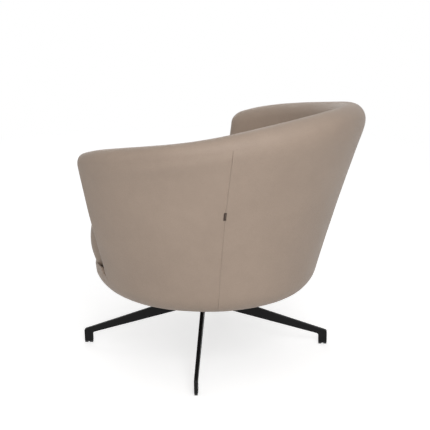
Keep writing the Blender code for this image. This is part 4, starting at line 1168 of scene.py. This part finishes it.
def fill_with_foam(piece, laid, held):
    """Lets cloth under pressure swell a piece of the points laid, of which held stay."""
    group = piece.vertex_groups.new(name="held")
    group.add([int(i) for i in held], 1.0, "REPLACE")
    cloth = piece.modifiers.new("cloth", "CLOTH")
    for key, value in FOAM_COVER.items():
        setattr(cloth.settings, key, value)
    cloth.settings.effector_weights.gravity = 0.0
    cloth.settings.vertex_group_mass = "held"
    cloth.point_cache.frame_start = 1
    cloth.point_cache.frame_end = LAST_FRAME
    for number in range(1, LAST_FRAME + 1):
        scene.frame_set(number)
    move = read_vectors(evaluated(piece).data.vertices, "co") - laid
    piece.modifiers.remove(cloth)
    piece.vertex_groups.remove(group)
    scene.frame_set(1)
    length = np.linalg.norm(move, axis=-1, keepdims=True)
    print("foam swell: most", round(float(length.max()), 4), "mean", round(float(length.mean()), 4))
    return laid + move * np.minimum(1.0, MOST_SWELL / np.maximum(length, 1e-9))


def kept_clear(places):
    """Holds the cushion off the lining and the deck, and its front inside its reach."""
    places = places.copy()
    z = np.clip(places[:, 2], CUSHION_Z, CUSHION_EDGE_Z)
    for _ in range(2):
        x, y = places[:, 0] / PLAN_RATIO, places[:, 1] - AXIS_Y - wall_shift(z)
        angle = np.degrees(np.arctan2(x, y))
        aside = arm_splay(angle, z)
        places[:, 0] -= aside
        radius, shift = cushion_edge(angle, z, KEPT_WIDER)
        x, y = places[:, 0] / PLAN_RATIO, places[:, 1] - AXIS_Y - shift
        by_lining = np.abs(np.degrees(np.arctan2(x, y))) < CUSHION_BLEND[0]
        limit = radius + (SOFT_GAP - KEPT_GAP) * by_lining
        shrink = np.minimum(1.0, limit / np.maximum(np.hypot(x, y), 1e-6))
        places[:, 0] = places[:, 0] * shrink + aside
        places[:, 1] = AXIS_Y + shift + y * shrink
    places[:, 2] = np.maximum(places[:, 2], CUSHION_Z + BASE_LIFT)
    return places


points = fill_with_foam(cushion, points, np.concatenate((top_rim, low_rim)))
points = kept_clear(points)
print("cushion top at", round(float(points[:, 2].max()), 4))

# %% [markdown]
# The foam has its form now, and the sewing comes after it. Rows of points are slipped in beside
# both seams, the mesh is subdivided once, and then every point is moved by its distance from the
# nearest seam: into a narrow groove on it, out over a small puff beside it, and in and out along
# the short puckers that the thread draws.

# %% Rows beside the seams
BESIDE_SEAM = (0.1, 0.25, 0.5)  # in rows of the layout

side_ids = np.concatenate((panel_ids, band_ids, panel_ids[::-1] + per_panel))
seam_rows = (RINGS, RINGS + BAND_ROWS)
extra = {row + side * step for row in seam_rows for side in (-1, 1) for step in BESIDE_SEAM}
stops = np.array(sorted(set(range(len(side_ids))) | extra))


def rows_at(grid, stops):
    """Rows of a grid of points at fractional row numbers, on even curves through the rows."""
    low = np.clip(np.floor(stops).astype(int), 0, len(grid) - 2)
    part = (stops - low)[:, None, None]
    before, here, there, after = (grid[np.clip(low + k, 0, len(grid) - 1)] for k in (-1, 0, 1, 2))
    curve = (2.0 * before - 5.0 * here + 4.0 * there - after) * part**2
    curve += (3.0 * here - before - 3.0 * there + after) * part**3
    return here + 0.5 * ((there - before) * part + curve)


fine_rows = rows_at(points[side_ids], stops)
caps = np.concatenate((points[: len(patch)], points[per_panel : per_panel + len(patch)]))
row_ids = numbered(fine_rows, 2 * len(patch) - len(border_ids))
row_ids[0], row_ids[-1] = border_ids, border_ids + len(patch)
faces = quads(patch_ids) + quads(patch_ids + len(patch)) + quads(closed(row_ids))
whole = link_piece("cushion_cage", joined(caps, fine_rows[1:-1]), faces, seat_leather)
finer = whole.modifiers.new("finer", "SUBSURF")
finer.levels = finer.render_levels = 1
sewn_mesh = bpy.data.meshes.new_from_object(evaluated(whole))
bpy.data.objects.remove(whole)

# %% Draw in the seams
SEAM_SINK, SINK_WIDTH = 0.0019, 0.0021
PUFF, PUFF_AT, PUFF_WIDTH = 0.0005, 0.007, 0.005
CUSHION_PUCKER, CUSHION_PUCKER_PITCH = 0.0004, 0.019
CUSHION_PUCKER_FROM, CUSHION_PUCKER_FADE = (0.001, 0.005), 0.014
CUSHION_FOLDS, FOLDS_ABOVE, FOLDS_BESIDE = 0.0008, (0.02, 0.05), (0.006, 0.03)
FINDER_STEPS = 8  # points of a seam between two points of its ring

places = read_vectors(sewn_mesh.vertices, "co")
away = read_vectors(sewn_mesh.vertices, "normal")
ring_rows = [row_ids[int(np.searchsorted(stops, row))] for row in seam_rows]
steps = np.arange(FINDER_STEPS)[None, :, None] / FINDER_STEPS
seam_points = []
for ring in (places[row] for row in ring_rows):
    after = np.roll(ring, -1, axis=0)
    seam_points.extend(blend(ring[:, None], after[:, None], steps).reshape(-1, 3))
finder = kdtree.KDTree(len(seam_points))
for number, place in enumerate(seam_points):
    finder.insert(place, number)
finder.balance()
from_seam = np.array([finder.find(place)[2] for place in places])
along = np.arctan2(places[:, 0], places[:, 1] - AXIS_Y) * CUSHION_REACH
phase = 2.0 * math.pi * along / CUSHION_PUCKER_PITCH
phase += 2.2 * np.sin(19.0 * along) + 1.4 * np.sin(47.0 * along + 1.0)
move = PUFF * bell(from_seam - PUFF_AT, PUFF_WIDTH) - SEAM_SINK * bell(from_seam, SINK_WIDTH)
puckers = np.cos(phase) * np.exp(-from_seam / CUSHION_PUCKER_FADE)
move += CUSHION_PUCKER * puckers * smooth(from_seam, *CUSHION_PUCKER_FROM)
on_foam = smooth(places[:, 2] - CUSHION_Z, *FOLDS_ABOVE) * smooth(from_seam, *FOLDS_BESIDE)
move += folds(places, CUSHION_FOLDS) * on_foam
places = places + away * move[:, None]
places[:, 2] = np.maximum(places[:, 2], CUSHION_Z + BASE_LIFT)
sewn_mesh.vertices.foreach_set("co", places.ravel())
sewn_mesh.update()
sewn_mesh.shade_smooth()
spare, cushion.data = cushion.data, sewn_mesh
bpy.data.meshes.remove(spare)
settle(cushion, "seat", "taupe_leather", "seat_cushion")

# %% [markdown]
# ## Rows that follow a line
# Stitches, weld ripples and staples are one small shape repeated along a line. Placing each by hand
# would be slow and a texture would vanish on the outline, so one Geometry Nodes tree does all of
# them: it turns the line into evenly spaced points, turns each shape along the line and upright on
# the surface, and makes the result real. The line carries the surface's direction as an attribute.

# %% The tree
ROW_SIZES = {"Pitch": 0.004, "Length": 0.003, "Width": 0.0008, "Height": 0.0006}
ALIGN = "FunctionNodeAlignRotationToVector"


def row_tree(name, material):
    tree = bpy.data.node_groups.new(name, "GeometryNodeTree")
    face = tree.interface
    face.new_socket("Geometry", in_out="INPUT", socket_type="NodeSocketGeometry")
    for key, value in ROW_SIZES.items():
        face.new_socket(key, in_out="INPUT", socket_type="NodeSocketFloat").default_value = value
    face.new_socket("Shape", in_out="INPUT", socket_type="NodeSocketObject")
    face.new_socket("Geometry", in_out="OUTPUT", socket_type="NodeSocketGeometry")
    entry = tree.nodes.new("NodeGroupInput").outputs

    def step(kind, settings=None, **sockets):
        return node(tree, kind, sockets, **(settings or {})).outputs

    curve = step("GeometryNodeMeshToCurve", Mesh=entry["Geometry"])[0]
    evenly = {"mode": "LENGTH"}
    spaced = step("GeometryNodeCurveToPoints", evenly, Curve=curve, Length=entry["Pitch"])
    vector = {"data_type": "FLOAT_VECTOR"}
    outward = step("GeometryNodeInputNamedAttribute", vector, Name="outward")[0]
    along = step(ALIGN, {"axis": "X"}, Vector=spaced["Tangent"])[0]
    upright = step(ALIGN, {"axis": "Z", "pivot_axis": "X"}, Rotation=along, Vector=outward)[0]
    size = step("ShaderNodeCombineXYZ", X=entry["Length"], Y=entry["Width"], Z=entry["Height"])[0]
    shape = step("GeometryNodeObjectInfo", Object=entry["Shape"])["Geometry"]
    placing = {"Points": spaced["Points"], "Instance": shape, "Rotation": upright, "Scale": size}
    placed = step("GeometryNodeInstanceOnPoints", **placing)[0]
    real = step("GeometryNodeRealizeInstances", Geometry=placed)[0]
    painted = step("GeometryNodeSetMaterial", Geometry=real, Material=material)[0]
    step("NodeGroupOutput", Geometry=painted)
    return tree


def add_row(name, lines, tree, shape, body, slot, **sizes):
    """A row of shapes along lines, each a pair of arrays: points and outward directions."""
    edges, start = [], 0
    for line, _ in lines:
        edges += [(start + i, start + i + 1) for i in range(len(line) - 1)]
        start += len(line)
    mesh = bpy.data.meshes.new(name + "_lines")
    mesh.from_pydata(joined(*(line for line, _ in lines)).tolist(), edges, [])
    attribute = mesh.attributes.new("outward", "FLOAT_VECTOR", "POINT")
    attribute.data.foreach_set("vector", joined(*(outward for _, outward in lines)).ravel())
    holder = add_object(name + "_lines", mesh)
    modifier = holder.modifiers.new("row", "NODES")
    modifier.node_group = tree
    items = tree.interface.items_tree
    sockets = {item.name: item.identifier for item in items if item.in_out == "INPUT"}
    for key, value in (sizes | {"Shape": shape}).items():
        modifier[sockets[key]] = value
    plain = bpy.data.meshes.new_from_object(evaluated(holder))
    bpy.data.objects.remove(holder)
    plain.shade_smooth()
    settle(add_object(name, plain), body, slot)


# %% Shapes to repeat
STITCH_DIP, STITCH_FULL = 0.9, 1.15
STAPLE_WIRE, STAPLE_LEG, WIRE_SIDES = 0.045, 0.25, 6
STAPLE_HALF = [(-0.5, -STAPLE_LEG), (-0.5, -0.06), (-0.47, 0.0), (-0.2, 0.02)]


def pattern_shape(name, shape):
    return bpy.data.objects.new(name, mesh_of(name, shape))


def grain_shape():
    """A stitch: a short rod of length and width 1 whose ends dip into the leather."""
    shape = bmesh.new()
    bmesh.ops.create_uvsphere(shape, u_segments=6, v_segments=7, radius=0.5)
    for point in shape.verts:
        x, y, z = point.co
        length = math.copysign(min(0.5, abs(z) * STITCH_FULL), z)
        point.co = (length, x, y - STITCH_DIP * z * z)
    return pattern_shape("stitch_shape", shape)


def wire_shape():
    """A staple of length 1: a round wire, bent down at both ends."""
    path = STAPLE_HALF + [(-x, z) for x, z in STAPLE_HALF[::-1]]
    turns = [2.0 * math.pi * step / WIRE_SIDES for step in range(WIRE_SIDES)]
    shape = bmesh.new()
    rings = []
    for i, (x, z) in enumerate(path):
        before, after = path[max(i - 1, 0)], path[min(i + 1, len(path) - 1)]
        lean = math.atan2(after[1] - before[1], after[0] - before[0])
        ring = []
        for turn in turns:
            across, up = math.cos(turn) * STAPLE_WIRE, math.sin(turn) * STAPLE_WIRE
            ring.append(shape.verts.new((x - math.sin(lean) * up, across, z + math.cos(lean) * up)))
        rings.append(ring)
    for first, second in zip(rings[:-1], rings[1:]):
        for i, k in zip(range(WIRE_SIDES), (*range(1, WIRE_SIDES), 0)):
            shape.faces.new((first[i], first[k], second[k], second[i]))
    for end in (rings[0], rings[-1]):
        shape.faces.new(end)
    bmesh.ops.recalc_face_normals(shape, faces=shape.faces[:])
    return pattern_shape("staple_shape", shape)


def drop_shape():
    """A drop of weld metal, a ball of width 1."""
    shape = bmesh.new()
    bmesh.ops.create_icosphere(shape, subdivisions=2, radius=0.5)
    return pattern_shape("weld_drop", shape)


stitching = row_tree("stitch_row", thread), grain_shape()
stapling = row_tree("staple_row", zinc), wire_shape()
welding = row_tree("weld_row", powder_coat), drop_shape()

# %% [markdown]
# ## Seam stitches
# The panels are sewn edge to edge from the inside. From outside, the thread shows only as short
# bars deep in the groove, nearly three to the centimetre. The cushion is sewn the same way.

# %% Stitches in the seams
STITCH = {"Pitch": 0.0037, "Length": 0.0027, "Width": 0.00075, "Height": 0.00075}
STITCH_DEPTH, STITCH_LOW = 0.0007, 0.003  # below the leather's face, and under the top seam
SEAM_POINTS = 60


def wall_line(angles, heights, depth):
    """A line on the wall and the wall's outward direction along it."""
    angles, heights = np.broadcast_arrays(angles, heights)
    line = wall_point(angles, heights, depth)
    aside = wall_point(angles + 0.5, heights, depth) - line
    above = wall_point(angles, heights + 0.002, depth) - line
    outward = unit(np.cross(aside, above))
    away = line - np.array((0.0, AXIS_Y, 0.0))
    return line, outward * np.sign((outward[:, :2] * away[:, :2]).sum(axis=1))[:, None]


heights = np.linspace(BOWL_TOP_Z, seam_height(REAR_SEAM_ANGLE) - STITCH_LOW, SEAM_POINTS)
seams = [wall_line(side * REAR_SEAM_ANGLE, heights, STITCH_DEPTH) for side in (-1.0, 1.0)]
add_row("seam_stitches", seams, *stitching, "seat", "taupe_leather", **STITCH)

# %% [markdown]
# ## Welds
# Each blade is welded to the hub up one side, over its top edge and down the other. A weld bead is
# a row of overlapping ripples, each a flat drop of metal, under the same powder coat as the rest.

# %% Weld beads
HUB_RADIUS, LEG_THICK, LEG_TURN = 0.032, 0.0092, -10.9
LEG_LOW, LEG_HIGH = 0.106, 0.1412
WELD = {"Pitch": 0.0013, "Length": 0.0021, "Width": 0.0042, "Height": 0.0026}
UP_STEPS, OVER_STEPS = 16, 6
WELD_ASIDE, WELD_OUT, WELD_OVER, WELD_START = 0.0006, 0.0004, 0.0005, 0.002

half = 0.5 * LEG_THICK + WELD_ASIDE
rise = np.linspace(LEG_LOW + WELD_START, LEG_HIGH, UP_STEPS)
over = np.linspace(-half, half, OVER_STEPS)
across = np.concatenate((np.full(UP_STEPS, -half), over, np.full(UP_STEPS, half)))
up = np.concatenate((rise, np.full(OVER_STEPS, LEG_HIGH + WELD_OVER), rise[::-1]))
out = np.sqrt(HUB_RADIUS**2 - across**2) + WELD_OUT
line = np.stack((out, across, up), axis=-1)
facing = np.stack((np.ones_like(up), np.sign(across), (up > LEG_HIGH) * 1.0), axis=-1)
welds = []
for leg in range(4):
    turn = math.radians(45.0 + LEG_TURN + 90.0 * leg)
    cos, sin = math.cos(turn), math.sin(turn)
    spin = np.array(((cos, sin, 0), (-sin, cos, 0), (0, 0, 1)))
    welds.append((line @ spin + np.array((0.0, AXIS_Y, 0.0)), facing @ spin))
add_row("weld_beads", welds, *welding, "base", "black_powder_coat", **WELD)

# %% [markdown]
# ## Dust cloth and staples
# A black spun-bonded cloth closes the underside between the turned-in leather and the swivel plate.
# It is cut as a flat ring, pulled taut and stapled, so it stays nearly flat and only ripples a
# little where each staple holds it. A flat sheet with those ripples is all it needs.

# %% Dust cloth
DUST_HOLE, DUST_THICK, DUST_LIFT = 0.110, 0.0007, 0.0003
DUST_COLUMNS, DUST_ROWS = 264, 24
PULLS, PULL, PULL_FADE = 44, 0.00022, 0.12
SAG, WAVES, WAVE_HEIGHT = 0.0005, 9.0, 0.00018
dust_reach = FOOT_REACH - TURN_IN - GAP


def on_ring(angle, radius, z):
    """A circle round the swivel axis."""
    place = on_ellipse(angle, radius, 0.0, z)
    place[:, 0] /= PLAN_RATIO
    return place


around = np.linspace(-180.0, 180.0, DUST_COLUMNS + 1)[:-1]
turn = np.radians(around)[None, :]
hole_edge = on_ring(around, DUST_HOLE, 0.0)[None]
outer_edge = on_ellipse(around, dust_reach, FOOT_SHIFT, 0.0)[None]
share = np.linspace(0.0, 1.0, DUST_ROWS + 1)[:, None]
low = blend(hole_edge, outer_edge, share[..., None])
pull = PULL * np.cos(turn * PULLS) * np.exp(-(1.0 - share) / PULL_FADE)
sag = SAG * np.sin(math.pi * share) + WAVE_HEIGHT * np.sin(WAVES * turn) * share
low[..., 2] = BOTTOM_Z + GAP + DUST_THICK + DUST_LIFT - sag - pull
high = low + np.array((0.0, 0.0, DUST_THICK))
ids = closed(numbered(low))
above = ids + low.shape[0] * low.shape[1]
faces = quads(ids) + quads(above) + quads(ids[0], above[0]) + quads(ids[-1], above[-1])
dust = link_piece("dust_cloth", joined(low, high), faces, spun_cloth)
settle(dust, "seat", "black_dust_cloth", "dust_cover")

# %% Staples
STAPLE = {"Pitch": 0.0245, "Length": 0.0098, "Width": 0.0098, "Height": 0.0098}
LEATHER_ROW, CLOTH_ROW, HOLE_ROW = 0.0075, 0.007, 0.006  # from the cloth's edges
STAPLE_SINK, HOLE_LIFT, RING_POINTS = 0.0001, 0.0005, (181, 91)

wide, narrow = (np.linspace(-180.0, 180.0, count) for count in RING_POINTS)
rows = (
    on_ellipse(wide, dust_reach + LEATHER_ROW, FOOT_SHIFT, BOTTOM_Z - STAPLE_SINK),
    on_ellipse(wide, dust_reach - CLOTH_ROW, FOOT_SHIFT, BOTTOM_Z + GAP - STAPLE_SINK),
    on_ring(narrow, DUST_HOLE + HOLE_ROW, BOTTOM_Z + GAP + HOLE_LIFT),
)
staples = [(row, np.tile((0.0, 0.0, -1.0), (len(row), 1))) for row in rows]
add_row("staples", staples, *stapling, "seat", "zinc_plated_steel", **STAPLE)

# %% [markdown]
# ## Tab in the seam
# A short piece of dark leather is folded double and caught in the left rear seam. On such chairs it
# would carry a name; this one is blank. It is a band bent to a U, so it is built as one: a path
# round the fold, given the leather's thickness, and run up the seam.

# %% Tab
TAB_Z, TAB_HEIGHT, TAB_REACH = 0.458, 0.0195, 0.0043
TAB_ROOT, TAB_LEATHER, FOLD = -0.0016, 0.0009, 0.00052
TAB_STEPS, BEND_STEPS, RISE_STEPS = 8, 9, 15
TAB_EDGE, TAB_THINNEST = 0.0006, 0.12     # its ends thin out over this, down to this share
TAB_LIFT, TAB_CURL = 0.00045, 0.0004
TAB_STITCH = {"Pitch": 0.0026, "Length": 0.0021, "Width": 0.0005, "Height": 0.0005}
TAB_STITCH_AT, TAB_STITCH_ENDS, TAB_STITCH_LIFT, TAB_POINTS = 0.0006, 0.002, 0.0005, 12

bend = np.radians(np.linspace(-90.0, 90.0, BEND_STEPS))
tip = TAB_REACH - FOLD
path = [(TAB_ROOT, 0.0)] + [(x, 0.0) for x in np.linspace(TAB_ROOT, tip, TAB_STEPS)[1:-1]]
path += [(tip + FOLD * math.cos(b), FOLD + FOLD * math.sin(b)) for b in bend]
path += [(x, 2.0 * FOLD) for x in np.linspace(tip, TAB_ROOT, TAB_STEPS)[1:]]
path = np.array(path)
slope = unit(np.gradient(path, axis=0))
across = np.stack((slope[:, 1], -slope[:, 0]), axis=-1)
rises = np.linspace(FINE[4], TAB_HEIGHT - FINE[4], RISE_STEPS)
rises = np.concatenate((FINE[:4], rises, TAB_HEIGHT - FINE[3::-1]))


def tab_side(offset):
    """Points of one side of the band, its corners and ends rounded."""
    thin = np.sqrt(np.clip(np.minimum(rises, TAB_HEIGHT - rises) / TAB_EDGE, TAB_THINNEST, 1.0))
    flat = path[None] + across[None] * offset * thin[:, None, None]
    curl = TAB_CURL * ((rises / TAB_HEIGHT - 0.5)[:, None] * 2.0) ** 2
    angle = REAR_SEAM_ANGLE + np.degrees(flat[..., 0] / wall_radius(TAB_Z))
    height = TAB_Z - 0.5 * TAB_HEIGHT + rises[:, None]
    return wall_point(angle, height, -(flat[..., 1] + TAB_LIFT + 0.5 * TAB_LEATHER + curl))


tab = slab("folded_tab", tab_side(0.5 * TAB_LEATHER), tab_side(-0.5 * TAB_LEATHER), tab_leather)
settle(tab, "seat", "dark_brown_leather", "seam_tab")
angle = REAR_SEAM_ANGLE + math.degrees(TAB_STITCH_AT / wall_radius(TAB_Z))
half = 0.5 * TAB_HEIGHT - TAB_STITCH_ENDS
over_tab = 2.0 * FOLD + TAB_LEATHER + TAB_STITCH_LIFT
row = wall_line(angle, np.linspace(TAB_Z - half, TAB_Z + half, TAB_POINTS), -over_tab)
add_row("tab_stitches", [row], *stitching, "seat", "dark_brown_leather", **TAB_STITCH)

# %% Stitches round the cushion
RING_SINK, RING_MIDDLE, RING_FLATTEN = 0.0002, 0.06, 0.6


def ring_line(ring):
    """A closed line along a ring of the cushion, sunk below its skin."""
    line = np.concatenate((ring, ring[:1]))
    outward = line - np.array((0.0, AXIS_Y + LOW_SHIFT, CUSHION_EDGE_Z - RING_MIDDLE))
    outward = unit(outward * (1.0, 1.0, RING_FLATTEN))
    return line - outward * RING_SINK, outward


rings = [ring_line(places[row]) for row in ring_rows]
add_row("cushion_stitches", rings, *stitching, "seat", "taupe_leather", **STITCH)
